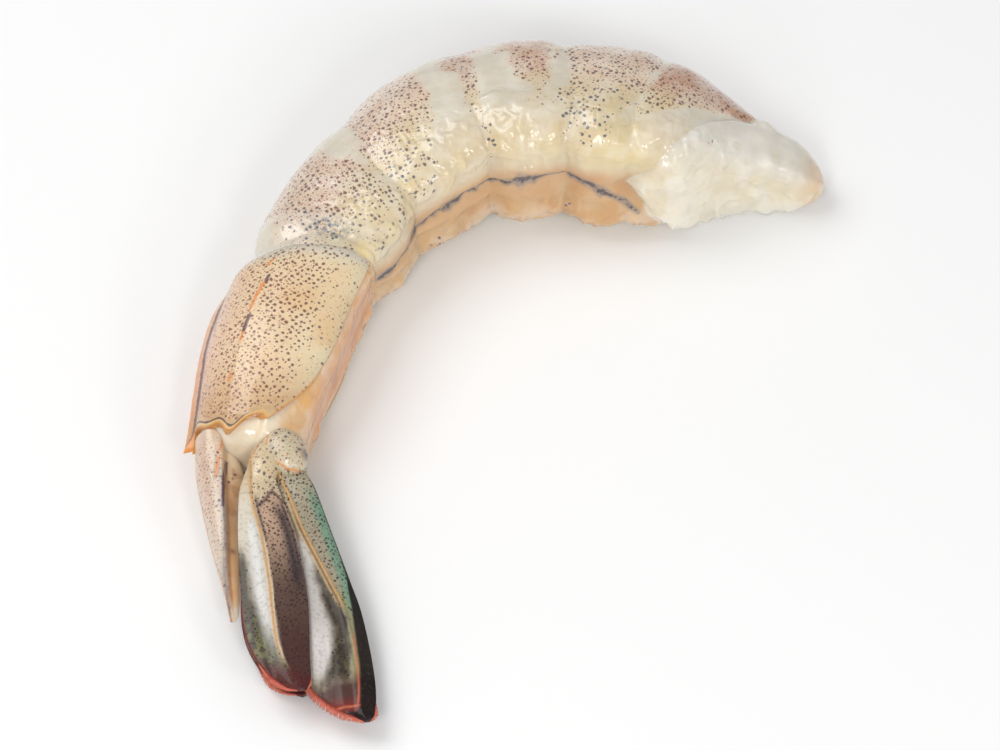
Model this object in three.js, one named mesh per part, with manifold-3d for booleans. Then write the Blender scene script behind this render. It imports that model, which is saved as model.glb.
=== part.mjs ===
// A raw whiteleg shrimp, headless and peeled down to its last segment, lying on its side.
// Millimetres, +Z up. The shrimp curls in a flat arch: its back is on the outside of the curve and its belly
// on the inside. The meat is one solid with five soft segments, a torn muscle end at the front and a plain
// core at the rear. The shell of the sixth segment wraps that core like a saddle, open along the belly.
// Behind it the tail fan has a telson on the back's side and, on each flank, a protopod that carries two
// blades, the endopod next to the telson and the exopod below it.
import * as THREE from "three";
import Module from "manifold-3d";
import { mergeVertices } from "three/addons/utils/BufferGeometryUtils.js";

const { clamp, degToRad, lerp, smoothstep } = THREE.MathUtils;

// ---------------------------------------------------------------- driving dimensions

// The abdomen from the cut front to the tail. A row gives a stretch's length along the middle line and its
// bend towards the belly in degrees, then the body's depth (back to belly) and width at the stretch's end.
// The joint after a segment crosses the body on a slant: back and flank say how far behind the stretch's end
// it lies there. Its notch is the groove's depth on the back.
const STRETCHES = [
  { name: "muscle", length: 7.2, bend: 0, depth: 8.2, width: 8.8 },
  { name: "first", length: 10.0, bend: 5.5, depth: 16.9, width: 14.4, back: 0.6, flank: 3.2, notch: 0.3 },
  { name: "second", length: 10.6, bend: -2, depth: 18.2, width: 15.4, back: 0.5, flank: -0.8, notch: 0.35 },
  { name: "third", length: 9.0, bend: 23, depth: 18.0, width: 15.0, back: 0.3, flank: 1.8, notch: 0.35 },
  { name: "fourth", length: 10.7, bend: 33, depth: 15.9, width: 13.3, back: 0.6, flank: 4.7, notch: 0.35 },
  { name: "fifth", length: 15.0, bend: 21, depth: 14.0, width: 11.4, back: 2.2, flank: -1.2, notch: 1.1 },
  { name: "sixth", length: 22.8, bend: 14, depth: 11.8, width: 9.0 },
];
const FRONT_DEPTH = 4.4;
const FRONT_WIDTH = 5.6;
const FRONT_HEADING = 172.5; // degrees, the way from the cut front to the tail, in plan
const BEND_SMOOTHING = 4.0; // the reach along the middle line over which a bend is averaged
const STEP = 0.25; // of the middle line
const RUN_OUT = 10; // of the middle line, past the end of the body
const FRONT_CAP = 4.5; // lengths of the rounded ends
const REAR_CAP = 2.6;

const BACK_ROUNDNESS = 2.1; // superellipse powers of the section
const BELLY_ROUNDNESS = 4.0;
const ROLL = 6.5; // degrees, the belly's upward turn where it lies
const UNROLL = 14; // the length before the sixth segment over which that turn goes
const SETTLED = 0.45; // how far soft meat flattens where it lies

// How deep the joints' grooves are, and how far a segment swells between them: on the whole side, and what
// the lower flank and the belly add.
const GROOVE = { side: 0.3, flank: 0.3, belly: 0.15, reach: 1.6 };
const SWELL = { side: 0.1, flank: 0.3, belly: 0.2, sixth: 0.6 };
const LOWER_FLANK = { at: 142, reach: 22 }; // degrees from the back
// The long folds beside and along the belly, and the stretch of the middle line over which they begin.
const FOLDS = [
  { at: 163, reach: 6, depth: 0.4 },
  { at: 180, reach: 7, depth: 0.3 },
];
const FOLDS_BEGIN = [13, 22];
const SKIN_EDGE = { back: 4.5, belly: 20.5, from: 40 }; // the skin's front edge, level as far as from degrees
const MUSCLE_SWELL = { behind: -3.2, reach: 2.6, height: 0.3 }; // of the bare muscle, seen from that edge
const SKIN_STEP = { behind: 0.3, reach: 1.1, depth: 0.45 };

const GAP = 0.3; // between pieces that touch
const SHELL = {
  thickness: 0.5,
  clearance: 0.25, // from the shell down to the surface that the meat lies on
  reach: 150, // degrees from the back to its lower margins
  climb: 38, // how far those margins climb the flank at the tail
  frontOnBack: 4.3, // where its front edge is, behind the joint
  frontOnMargin: -0.2,
  keel: { reach: 6, height: 0.75 },
};
// The shell's rear edge: a spine on the back, then a swell, a tooth and a notch on each flank.
const SHELL_TEETH = [
  { at: 0, reach: 7, length: 2.4 },
  { at: 38, reach: 16, length: 1 },
  { at: 68, reach: 13, length: 1.9 },
  { at: 98, reach: 8, length: -0.5 },
];

const FAN_TURN = 16; // degrees, from the end of the sixth segment to the fan's middle line
const FAN_DROOP = 4.5; // degrees, down to the surface
const FAN_OFFSET = 1.6; // from the end of the middle line to the fan's, towards the back
const LOWER_SHIFT = -1.2; // of the fan's lower half, towards the front

// The fan's outlines are [x, y] points from the hinge to the tip, first the edge towards the back. In the
// fan's own frame X runs to the tips, Y to the belly and Z to the upper flank.
const TELSON = {
  back: [[0.2, -4.3], [4.2, -4.5], [7.8, -4.3], [12.6, -3.8], [17.3, -3.1], [21.1, -2.7]],
  belly: [[0.2, -0.9], [2.5, 0], [5, 0.3], [8, -0.5], [12, -0.9], [17, -1.4], [20.4, -1.8], [21.1, -2.2]],
  halfWidth: 3.0,
  web: 0.5, // how much thinner it is at the belly's side
};
const ENDOPOD = {
  back: [[5, 0.9], [6.6, 0.1], [8.4, -0.5], [13.3, -1.1], [16.7, -1.25], [21.8, -1.6], [25.1, -1.2],
    [28.2, 0.2], [30, 1.9], [30.5, 3.2]],
  belly: [[5, 3.2], [7, 3.3], [9.6, 3.8], [11.1, 4.2], [13.5, 4.7], [20.1, 5.1], [27, 4.6], [29.5, 4.4],
    [30.5, 3.9]],
  rib: [[5, 1], [8, 0.7], [10.5, 0.8], [13.5, 1.2], [17.5, 1.4], [26.2, 1.6], [30.5, 2.9]],
  heights: [3.4, 1.5], // over the fan's middle plane, at the hinge and at the tip
};
const EXOPOD = {
  back: [[5.8, 3.2], [12, 3.4], [20, 3.2], [27, 3.4], [30.2, 4.6], [31.8, 5.8], [33.2, 7.6], [34.2, 9.2]],
  belly: [[5.8, 6.3], [7.7, 7.1], [11.2, 7.9], [18.8, 9.6], [21.7, 10.2], [26, 10.6], [30, 10.7],
    [32.4, 10.5], [33.6, 10.2], [34.2, 9.7]],
  rib: [[5.8, 3.6], [7.4, 4.1], [9.6, 4.7], [12.5, 5.4], [18.3, 7.45], [21.8, 8.6], [26, 9.1], [34.2, 9.4]],
  heights: [2.3, 0.5],
};
const BLADE = { thickness: 0.6, rim: 0.3, rib: 0.25, ribReach: 0.5, sinkFrom: 3, sinkTo: 26 };
// The knuckle of the blades: a dome, and a longer lobe that runs on into the endopod. The core lies in both.
const PROTOPOD = {
  core: [4.4, 3.5, 2.7],
  lobes: [
    { centre: [3.6, 4.6, 2.75], half: [2.9, 2.2, 1.75], turn: 20 },
    { centre: [5.2, 2.3, 2.8], half: [3.1, 1.6, 1.35], turn: -18 },
  ],
};

// ---------------------------------------------------------------- the middle line

const ENDS = [0];
for (const stretch of STRETCHES) ENDS.push(ENDS.at(-1) + stretch.length);
const BODY_LENGTH = ENDS.at(-1);
const SHELL_START = ENDS.at(-2);
const DEPTHS = [FRONT_DEPTH, ...STRETCHES.map((stretch) => stretch.depth)];
const WIDTHS = [FRONT_WIDTH, ...STRETCHES.map((stretch) => stretch.width)];

// A smooth curve through the values at the ends of the stretches, held level beyond them.
function along(values, s) {
  const t = clamp(s, 0, BODY_LENGTH);
  let i = 0;
  while (i < ENDS.length - 2 && t > ENDS[i + 1]) i++;
  const slope = (k) => {
    const [a, b] = [Math.max(k - 1, 0), Math.min(k + 1, ENDS.length - 1)];
    return (values[b] - values[a]) / (ENDS[b] - ENDS[a]);
  };
  const span = ENDS[i + 1] - ENDS[i];
  const u = (t - ENDS[i]) / span;
  return (
    values[i] * (1 + 2 * u) * (1 - u) ** 2 +
    slope(i) * span * u * (1 - u) ** 2 +
    values[i + 1] * (3 - 2 * u) * u ** 2 +
    slope(i + 1) * span * (u - 1) * u ** 2
  );
}

function sharpHeading(s) {
  return STRETCHES.reduce(
    (sum, stretch, i) => sum + stretch.bend * clamp((s - ENDS[i]) / stretch.length, 0, 1),
    FRONT_HEADING,
  );
}

function heading(s) {
  const samples = 9;
  let sum = 0;
  for (let i = 0; i < samples; i++) {
    sum += sharpHeading(s + BEND_SMOOTHING * ((2 * i) / (samples - 1) - 1));
  }
  return degToRad(sum / samples);
}

const LINE = [new THREE.Vector2(0, 0)];
for (let s = STEP / 2; s < BODY_LENGTH + RUN_OUT; s += STEP) {
  const turn = heading(s);
  LINE.push(LINE.at(-1).clone().add(new THREE.Vector2(Math.cos(turn), Math.sin(turn)).multiplyScalar(STEP)));
}

function middle(s) {
  const i = clamp(Math.floor(s / STEP), 0, LINE.length - 2);
  return LINE[i].clone().lerp(LINE[i + 1], s / STEP - i);
}

// The height of the middle line: soft meat settles a little, and the shell stays just clear.
function middleHeight(s) {
  const half = along(WIDTHS, s) / 2;
  const shelled = smoothstep(s, SHELL_START - 4, SHELL_START + 2);
  return half + lerp(-SETTLED, SHELL.clearance, shelled);
}

// ---------------------------------------------------------------- the section

const bump = (x, centre, reach) => Math.exp(-(((x - centre) / reach) ** 2));

// The angle from the back, 0 to 180 degrees on both flanks alike.
function fromBack(degrees) {
  const wrapped = ((degrees % 360) + 360) % 360;
  return wrapped > 180 ? 360 - wrapped : wrapped;
}

function plainRadius(s, degrees) {
  const angle = degToRad(degrees);
  const round = smoothstep(fromBack(degrees), 80, 150);
  const power = lerp(BACK_ROUNDNESS, BELLY_ROUNDNESS, round);
  const a = Math.abs(Math.cos(angle)) / (along(DEPTHS, s) / 2);
  const b = Math.abs(Math.sin(angle)) / (along(WIDTHS, s) / 2);
  return (a ** power + b ** power) ** (-1 / power);
}

// The front edge of the skin, where the bare muscle of the cut end swells out from under it.
function skinEdge(degrees) {
  const { back, belly, from } = SKIN_EDGE;
  return lerp(back, belly, clamp((fromBack(degrees) - from) / (180 - from), 0, 1));
}

// The joint behind a stretch, or the end of the stretch where it has none.
function jointAt(stretch, degrees) {
  const { back = 0, flank = 0 } = STRETCHES[stretch];
  return ENDS[stretch + 1] + lerp(back, flank, smoothstep(fromBack(degrees), 40, 120));
}

// Grooves between the segments, lobes along the lower flanks and swellings along the belly.
function relief(s, degrees) {
  const around = fromBack(degrees);
  const flank = bump(around, LOWER_FLANK.at, LOWER_FLANK.reach);
  const belly = smoothstep(around, 156, 172);
  const sideways = (row) => row.side + row.flank * flank + row.belly * belly;
  let height = 0;
  for (let i = 1; i < STRETCHES.length - 1; i++) {
    const [start, end] = [jointAt(i - 1, degrees), jointAt(i, degrees)];
    const groove = lerp(STRETCHES[i].notch, sideways(GROOVE), smoothstep(around, 30, 90));
    const between = clamp((s - start) / (end - start), 0, 1);
    height += sideways(SWELL) * Math.sin(Math.PI * between) ** 2 - groove * bump(s, end, GROOVE.reach);
  }
  const sixth = clamp((s - SHELL_START) / (BODY_LENGTH - SHELL_START), 0, 1);
  height += SWELL.sixth * Math.sin(Math.PI * sixth) ** 2;
  const folded = smoothstep(s, ...FOLDS_BEGIN) * (1 - smoothstep(s, SHELL_START - 1, SHELL_START + 2));
  for (const fold of FOLDS) {
    height -= folded * fold.depth * bump(around, fold.at, fold.reach);
  }
  const behind = s - skinEdge(degrees);
  height += MUSCLE_SWELL.height * bump(behind, MUSCLE_SWELL.behind, MUSCLE_SWELL.reach);
  height -= SKIN_STEP.depth * bump(behind, SKIN_STEP.behind, SKIN_STEP.reach);
  return height;
}

// Both ends of the meat close like the end of a thumb.
function endShape(s, grow) {
  const front = clamp(1 - s / FRONT_CAP, 0, 1);
  const rear = clamp((s - BODY_LENGTH) / (REAR_CAP + grow), 0, 1);
  return Math.sqrt(1 - front ** 2) * Math.sqrt(1 - rear ** 2);
}

// How far the meat lies below the surface to leave room for the shell and the gap under it.
function underShell(s, degrees) {
  const open = smoothstep(fromBack(degrees), shellReach(s) + 4, shellReach(s) + 14);
  const inset = lerp(SHELL.thickness + GAP, GAP, open);
  const front = shellFront(degrees);
  return inset * smoothstep(s, front - 1.6, front - 0.5);
}

// A point of the meat's surface. grow pushes the surface out, for cutting other pieces clear of it.
function meatPoint(s, degrees, grow = 0) {
  const closing = endShape(s, grow);
  const radius = (plainRadius(s, degrees) + relief(s, degrees) - underShell(s, degrees)) * closing + grow;
  const point = sectionPoint(s, degrees, radius);
  point.z = Math.max(point.z, 0);
  return point;
}

// From a station on the middle line out to a point of its section.
function sectionPoint(s, degrees, radius) {
  const turn = heading(clamp(s, 0, BODY_LENGTH));
  const roll = ROLL * (1 - smoothstep(s, SHELL_START - UNROLL, SHELL_START));
  const angle = degToRad(degrees - roll);
  const out = radius * Math.cos(angle);
  const line = middle(s);
  return new THREE.Vector3(
    line.x + out * Math.sin(turn),
    line.y - out * Math.cos(turn),
    middleHeight(s) + radius * Math.sin(angle),
  );
}

// ---------------------------------------------------------------- closed solids from grids

function geometryOf(positions, index) {
  const geometry = new THREE.BufferGeometry();
  geometry.setAttribute("position", new THREE.Float32BufferAttribute(positions, 3));
  geometry.setIndex(index);
  geometry.computeVertexNormals();
  return geometry;
}

// A tube through rings of points, closed at both ends by a fan to the ring's centre.
function tube(rings) {
  const sides = rings[0].length;
  const positions = rings.flat().flatMap((p) => [p.x, p.y, p.z]);
  const index = [];
  const at = (ring, side) => ring * sides + (side % sides);
  for (let i = 0; i < rings.length - 1; i++) {
    for (let j = 0; j < sides; j++) {
      index.push(at(i, j), at(i + 1, j), at(i + 1, j + 1), at(i, j), at(i + 1, j + 1), at(i, j + 1));
    }
  }
  for (const end of [0, rings.length - 1]) {
    const centre = new THREE.Vector3();
    for (const p of rings[end]) centre.addScaledVector(p, 1 / sides);
    const tip = positions.length / 3;
    positions.push(centre.x, centre.y, centre.z);
    for (let j = 0; j < sides; j++) {
      if (end === 0) index.push(tip, at(0, j), at(0, j + 1));
      else index.push(tip, at(end, j + 1), at(end, j));
    }
  }
  return facingOut(geometryOf(positions, index));
}

// A sheet with two faces: face(u, v, side) gives a point, with u and v from 0 to 1 and side 1 or -1.
function sheet(rows, columns, face) {
  const positions = [];
  for (const side of [1, -1]) {
    for (let i = 0; i <= rows; i++) {
      for (let j = 0; j <= columns; j++) {
        positions.push(...face(i / rows, j / columns, side).toArray());
      }
    }
  }
  const width = columns + 1;
  const half = (rows + 1) * width;
  const index = [];
  const quad = (a, b, c, d) => index.push(a, b, c, a, c, d);
  for (let i = 0; i < rows; i++) {
    for (let j = 0; j < columns; j++) {
      const a = i * width + j;
      quad(a, a + width, a + width + 1, a + 1);
      quad(half + a, half + a + 1, half + a + width + 1, half + a + width);
    }
  }
  for (let i = 0; i < rows; i++) {
    const [a, b] = [i * width, i * width + columns];
    quad(a, half + a, half + a + width, a + width);
    quad(b, b + width, half + b + width, half + b);
  }
  for (let j = 0; j < columns; j++) {
    const [a, b] = [j, rows * width + j];
    quad(a, a + 1, half + a + 1, half + a);
    quad(b, half + b, half + b + 1, b + 1);
  }
  return facingOut(geometryOf(positions, index));
}

function facingOut(geometry) {
  const { array } = geometry.getAttribute("position");
  const index = geometry.getIndex().array;
  const corner = (k) => new THREE.Vector3().fromArray(array, 3 * index[k]);
  let volume = 0;
  for (let i = 0; i < index.length; i += 3) {
    volume += corner(i).dot(corner(i + 1).cross(corner(i + 2)));
  }
  if (volume < 0) {
    for (let i = 0; i < index.length; i += 3) {
      [index[i + 1], index[i + 2]] = [index[i + 2], index[i + 1]];
    }
    geometry.computeVertexNormals();
  }
  return geometry;
}

// ---------------------------------------------------------------- cutting one piece clear of another

const wasm = await Module();
wasm.setup();

function solidOf(geometry) {
  const bare = geometry.clone().deleteAttribute("normal");
  const merged = mergeVertices(bare, 1e-4);
  return new wasm.Manifold(
    new wasm.Mesh({
      numProp: 3,
      vertProperties: merged.getAttribute("position").array,
      triVerts: new Uint32Array(merged.getIndex().array),
    }),
  );
}

// The largest piece that is left of a geometry once the others are cut from it.
function cutClear(geometry, ...others) {
  let solid = solidOf(geometry);
  for (const other of others) solid = solid.subtract(solidOf(other));
  const [largest] = solid.decompose().sort((a, b) => b.volume() - a.volume());
  const mesh = largest.getMesh();
  return geometryOf(Array.from(mesh.vertProperties), Array.from(mesh.triVerts));
}

// ---------------------------------------------------------------- the meat

const MEAT_SIDES = 34;

// Rings stand closer where the shell begins and where the ends close.
function meatStations(grow = 0) {
  const stations = [];
  for (let i = 1; i <= 7; i++) {
    stations.push(FRONT_CAP * (1 - Math.cos((i / 7) * (Math.PI / 2))));
  }
  while (stations.at(-1) < BODY_LENGTH - 2) {
    const s = stations.at(-1);
    stations.push(s + (s < shellFront(0) ? 1.1 : 1.9));
  }
  for (let i = 0; i <= 5; i++) {
    stations.push(BODY_LENGTH + (REAR_CAP + grow) * Math.sin((i / 5.6) * (Math.PI / 2)));
  }
  return stations;
}

function meatGeometry(grow = 0, from = 0) {
  const stations = meatStations(grow).filter((s) => s >= from);
  return tube(
    stations.map((s) =>
      Array.from({ length: MEAT_SIDES }, (_, j) => meatPoint(s, (360 * j) / MEAT_SIDES, grow)),
    ),
  );
}

// ---------------------------------------------------------------- the shell of the sixth segment

// How far round from the back the shell reaches: near the tail its lower margin climbs the flank.
function shellReach(s) {
  const t = clamp((s - SHELL_START) / (BODY_LENGTH - SHELL_START), 0, 1);
  return SHELL.reach - SHELL.climb * t ** 6;
}

// The shell's front edge slants forward from the back to its lower margins.
function shellFront(degrees) {
  const down = clamp(fromBack(degrees) / SHELL.reach, 0, 1);
  return SHELL_START + lerp(SHELL.frontOnBack, SHELL.frontOnMargin, down);
}

function shellEnd(degrees) {
  const around = fromBack(degrees);
  let end = BODY_LENGTH;
  for (const tooth of SHELL_TEETH) end += tooth.length * bump(around, tooth.at, tooth.reach);
  return end;
}

function shellPoint(u, v, side, grow) {
  const reachAt = (s) => (2 * v - 1) * (shellReach(s) + 8 * grow);
  const start = shellFront(reachAt(SHELL_START)) - grow;
  const s = lerp(start, shellEnd(reachAt(BODY_LENGTH)) + grow, u);
  const degrees = reachAt(s);
  const keel = SHELL.keel.height * bump(degrees, 0, SHELL.keel.reach) * smoothstep(u, 0, 0.25);
  const outer = plainRadius(s, degrees) + relief(s, degrees);
  const radius = side > 0 ? outer + keel + grow : outer - SHELL.thickness - grow;
  const point = sectionPoint(s, degrees, radius);
  point.z = Math.max(point.z, 0.05);
  return point;
}

// Columns crowd together over the keel on the back.
function shellGeometry(grow = 0) {
  const crowd = (v) => {
    const w = 2 * v - 1;
    return (1 + Math.sign(w) * Math.abs(w) ** 1.35) / 2;
  };
  return sheet(15, 28, (u, v, side) => shellPoint(u, crowd(v), side, grow));
}

// ---------------------------------------------------------------- the tail fan

// An outline's y at x, along the straight stretches between its points.
function outlineAt(points, x) {
  let i = 0;
  while (i < points.length - 2 && x > points[i + 1][0]) i++;
  const [[x0, y0], [x1, y1]] = [points[i], points[i + 1]];
  return lerp(y0, y1, clamp((x - x0) / (x1 - x0), 0, 1));
}

// A tapering spike with a ridged back, which thins out to a web at the belly's side.
function telsonGeometry() {
  const [rings, sides] = [14, 18];
  const [start, end] = [TELSON.back[0][0], TELSON.back.at(-1)[0]];
  return tube(
    Array.from({ length: rings + 1 }, (_, i) => {
      const t = i / rings;
      const x = lerp(start, end, t);
      const [back, belly] = [outlineAt(TELSON.back, x), outlineAt(TELSON.belly, x)];
      const halfWidth = TELSON.halfWidth * (1 - 0.96 * t ** 1.8);
      return Array.from({ length: sides }, (_, j) => {
        const angle = (2 * Math.PI * j) / sides;
        const across = (1 - Math.cos(angle)) / 2;
        const thin = 1 - TELSON.web * smoothstep(across, 0.45, 0.8);
        return new THREE.Vector3(x, lerp(back, belly, across), halfWidth * thin * Math.sin(angle));
      });
    }),
  );
}

// The height of the upper flank's blades over the fan's middle plane.
function bladeHeight(blade, x) {
  const [hinge, tip] = blade.heights;
  return lerp(hinge, tip, smoothstep(x, BLADE.sinkFrom, BLADE.sinkTo));
}

function bladeGeometry(blade) {
  const [rows, columns] = [18, 10];
  const [start, end] = [blade.back[0][0], blade.back.at(-1)[0]];
  return sheet(rows, columns, (u, v, side) => {
    const x = lerp(start, end, 1 - (1 - u) ** 1.35);
    const y = lerp(outlineAt(blade.back, x), outlineAt(blade.belly, x), v);
    const thick = lerp(BLADE.rim, BLADE.thickness, Math.sqrt(4 * v * (1 - v)));
    const rib = BLADE.rib * bump(y, outlineAt(blade.rib, x), BLADE.ribReach) * (1 - u ** 3);
    return new THREE.Vector3(x, y, bladeHeight(blade, x) + (side * thick) / 2 + (side > 0 ? rib : 0));
  });
}

// How far a ray from the core runs before it leaves a lobe.
function lobeReach(lobe, direction, grow) {
  const half = new THREE.Vector3(...lobe.half).addScalar(grow);
  const up = new THREE.Vector3(0, 0, 1);
  const turned = (vector) => vector.applyAxisAngle(up, -degToRad(lobe.turn)).divide(half);
  const from = turned(new THREE.Vector3(...PROTOPOD.core).sub(new THREE.Vector3(...lobe.centre)));
  const way = turned(direction.clone());
  const along = from.dot(way);
  return (Math.sqrt(along ** 2 - way.lengthSq() * (from.lengthSq() - 1)) - along) / way.lengthSq();
}

function protopodGeometry(grow = 0) {
  const geometry = mergeVertices(
    new THREE.SphereGeometry(1, 22, 14).deleteAttribute("normal").deleteAttribute("uv"),
    1e-4,
  );
  const corners = geometry.getAttribute("position");
  const core = new THREE.Vector3(...PROTOPOD.core);
  for (let i = 0; i < corners.count; i++) {
    const direction = new THREE.Vector3().fromBufferAttribute(corners, i).normalize();
    const reach = Math.max(...PROTOPOD.lobes.map((lobe) => lobeReach(lobe, direction, grow)));
    corners.setXYZ(i, ...direction.multiplyScalar(reach).add(core).toArray());
  }
  return geometry;
}

// ---------------------------------------------------------------- putting the shrimp together

const material = (color, roughness) => new THREE.MeshStandardMaterial({ color, roughness, metalness: 0 });
const MATERIALS = {
  meat: material(0xddd6c2, 0.3),
  shell: material(0xd9b48c, 0.35),
  telson: material(0xcdb9a2, 0.35),
  protopod: material(0xb9ab92, 0.35),
  blade: material(0x8b7462, 0.3),
};

function piece(name, geometry, kind) {
  const mesh = new THREE.Mesh(geometry, MATERIALS[kind]);
  mesh.name = name;
  return mesh;
}

const shrimp = new THREE.Group();
shrimp.add(piece("meat", meatGeometry(), "meat"));
shrimp.add(piece("tail_shell", shellGeometry(), "shell"));

// The fan hangs from the end of the middle line.
const fan = new THREE.Group();
fan.position.copy(sectionPoint(BODY_LENGTH, 0, FAN_OFFSET));
fan.rotation.set(0, degToRad(FAN_DROOP), heading(BODY_LENGTH) + degToRad(FAN_TURN), "ZYX");
fan.updateMatrixWorld();
shrimp.add(fan);

// The rear of the meat and its shell, grown by the gap and brought into another frame for cutting.
function rearIn(frame) {
  const into = frame.matrixWorld.clone().invert();
  const grown = [meatGeometry(GAP, BODY_LENGTH - 6), shellGeometry(GAP)];
  return grown.map((geometry) => facingOut(geometry.applyMatrix4(into)));
}

fan.add(piece("telson", cutClear(telsonGeometry(), ...rearIn(fan)), "telson"));

for (const [flank, side] of [["upper", 1], ["lower", -1]]) {
  const half = new THREE.Group();
  half.position.x = side > 0 ? 0 : LOWER_SHIFT;
  fan.add(half);
  half.updateMatrixWorld();
  const onFlank = (geometry) => facingOut(geometry.scale(1, 1, side));
  const knuckle = onFlank(protopodGeometry(GAP));
  const protopod = cutClear(onFlank(protopodGeometry()), ...rearIn(half));
  half.add(piece("protopod_" + flank, protopod, "protopod"));
  half.add(piece("endopod_" + flank, cutClear(onFlank(bladeGeometry(ENDOPOD)), knuckle), "blade"));
  half.add(piece("exopod_" + flank, cutClear(onFlank(bladeGeometry(EXOPOD)), knuckle), "blade"));
}

// The origin is the middle of the footprint, on the surface that the shrimp lies on.
const reach = new THREE.Box3().setFromObject(shrimp, true);
shrimp.position.set(-(reach.min.x + reach.max.x) / 2, -(reach.min.y + reach.max.y) / 2, -reach.min.z);

export default new THREE.Group().add(shrimp);
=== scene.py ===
"""A raw peeled whiteleg shrimp, headless, with the shell of its last segment and its tail fan left on.

Lengths are millimetres and angles degrees until a mesh is made, which is in metres. A place on the body is
(s, degrees): s runs along the middle line from the cut front to the tail, and degrees go round it from the
back, with 90 up on the upper flank, 180 on the belly and 270 on the flank that it lies on. The fan has a
frame of its own, where x runs to the tips, y to the belly and z to the upper flank.
"""

import math

import bpy
import numpy as np
from mathutils import Matrix, Vector


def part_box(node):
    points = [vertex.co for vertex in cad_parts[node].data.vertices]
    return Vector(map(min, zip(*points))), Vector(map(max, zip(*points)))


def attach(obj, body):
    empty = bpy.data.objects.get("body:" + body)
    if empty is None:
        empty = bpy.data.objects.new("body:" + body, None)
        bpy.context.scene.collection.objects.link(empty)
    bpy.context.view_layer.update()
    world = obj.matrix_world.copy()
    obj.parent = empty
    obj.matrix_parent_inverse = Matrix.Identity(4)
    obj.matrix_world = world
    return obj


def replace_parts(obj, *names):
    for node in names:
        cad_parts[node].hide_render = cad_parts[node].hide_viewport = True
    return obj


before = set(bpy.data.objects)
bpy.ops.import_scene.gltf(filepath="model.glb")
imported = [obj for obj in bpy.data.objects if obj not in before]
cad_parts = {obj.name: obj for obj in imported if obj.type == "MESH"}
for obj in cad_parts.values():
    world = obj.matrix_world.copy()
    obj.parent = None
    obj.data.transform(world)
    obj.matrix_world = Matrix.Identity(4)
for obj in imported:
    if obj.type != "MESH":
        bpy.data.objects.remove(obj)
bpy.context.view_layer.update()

MM = 0.001

# ---- sizes, the same as the solid model's

# The front muscle's stretch, then those of the six segments: length and bend of the middle line, depth and
# width at its end, how far behind its end the joint lies on the back and on the flank, and the depth of the
# joint's notch on the back.
STRETCHES = (
    (7.2, 0, 8.2, 8.8, 0, 0, 0),
    (10, 5.5, 16.9, 14.4, 0.6, 3.2, 0.3),
    (10.6, -2, 18.2, 15.4, 0.5, -0.8, 0.35),
    (9, 23, 18, 15, 0.3, 1.8, 0.35),
    (10.7, 33, 15.9, 13.3, 0.6, 4.7, 0.35),
    (15, 21, 14, 11.4, 2.2, -1.2, 1.1),
    (22.8, 14, 11.8, 9, 0, 0, 0),
)
FRONT_DEPTH, FRONT_WIDTH = 4.4, 5.6
FRONT_HEADING = 172.5
BEND_SMOOTHING = 4
STEP = 0.25
RUN_OUT = 10
FRONT_CAP, REAR_CAP = 4.5, 2.6
BACK_ROUNDNESS, BELLY_ROUNDNESS = 2.1, 4
ROLL, UNROLL = 6.5, 14
SETTLED = 0.45
GROOVE = dict(side=0.3, flank=0.3, belly=0.15, reach=1.6)
SWELL = dict(side=0.1, flank=0.3, belly=0.2, sixth=0.6)
SHELL_THICKNESS, SHELL_CLEARANCE = 0.5, 0.25
SHELL_REACH, SHELL_CLIMB = 150, 38
SHELL_FRONT_ON_BACK, SHELL_FRONT_ON_MARGIN = 4.3, -0.2
SHELL_TEETH = ((0, 7, 2.4), (38, 16, 1), (68, 13, 1.9), (98, 8, -0.5))

FAN_TURN, FAN_DROOP, FAN_OFFSET = 16, 4.5, 1.6
LOWER_SHIFT = -1.2
TELSON = dict(
    back=((0.2, -4.3), (4.2, -4.5), (7.8, -4.3), (12.6, -3.8), (17.3, -3.1), (21.1, -2.7)),
    belly=((0.2, -0.9), (2.5, 0), (5, 0.3), (8, -0.5), (12, -0.9), (17, -1.4), (20.4, -1.8), (21.1, -2.2)),
    half_width=3,
    web=0.5,
)
ENDOPOD = dict(
    back=((5, 0.9), (6.6, 0.1), (8.4, -0.5), (13.3, -1.1), (16.7, -1.25), (21.8, -1.6), (25.1, -1.2),
          (28.2, 0.2), (30, 1.9), (30.5, 3.2)),
    belly=((5, 3.2), (7, 3.3), (9.6, 3.8), (11.1, 4.2), (13.5, 4.7), (20.1, 5.1), (27, 4.6), (29.5, 4.4),
           (30.5, 3.9)),
    rib=((5, 1), (8, 0.7), (10.5, 0.8), (13.5, 1.2), (17.5, 1.4), (26.2, 1.6), (30.5, 2.9)),
    heights=(3.4, 1.5),
)
EXOPOD = dict(
    back=((5.8, 3.2), (12, 3.4), (20, 3.2), (27, 3.4), (30.2, 4.6), (31.8, 5.8), (33.2, 7.6), (34.2, 9.2)),
    belly=((5.8, 6.3), (7.7, 7.1), (11.2, 7.9), (18.8, 9.6), (21.7, 10.2), (26, 10.6), (30, 10.7),
           (32.4, 10.5), (33.6, 10.2), (34.2, 9.7)),
    rib=((5.8, 3.6), (7.4, 4.1), (9.6, 4.7), (12.5, 5.4), (18.3, 7.45), (21.8, 8.6), (26, 9.1), (34.2, 9.4)),
    heights=(2.3, 0.5),
)
BLADE_THICKNESS, RIM_THICKNESS = 0.6, 0.3
PROTOPOD_CORE = (4.4, 3.5, 2.7)
PROTOPOD_LOBES = (
    dict(centre=(3.6, 4.6, 2.75), half=(2.9, 2.2, 1.75), turn=20),
    dict(centre=(5.2, 2.3, 2.8), half=(3.1, 1.6, 1.35), turn=-18),
)

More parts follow.
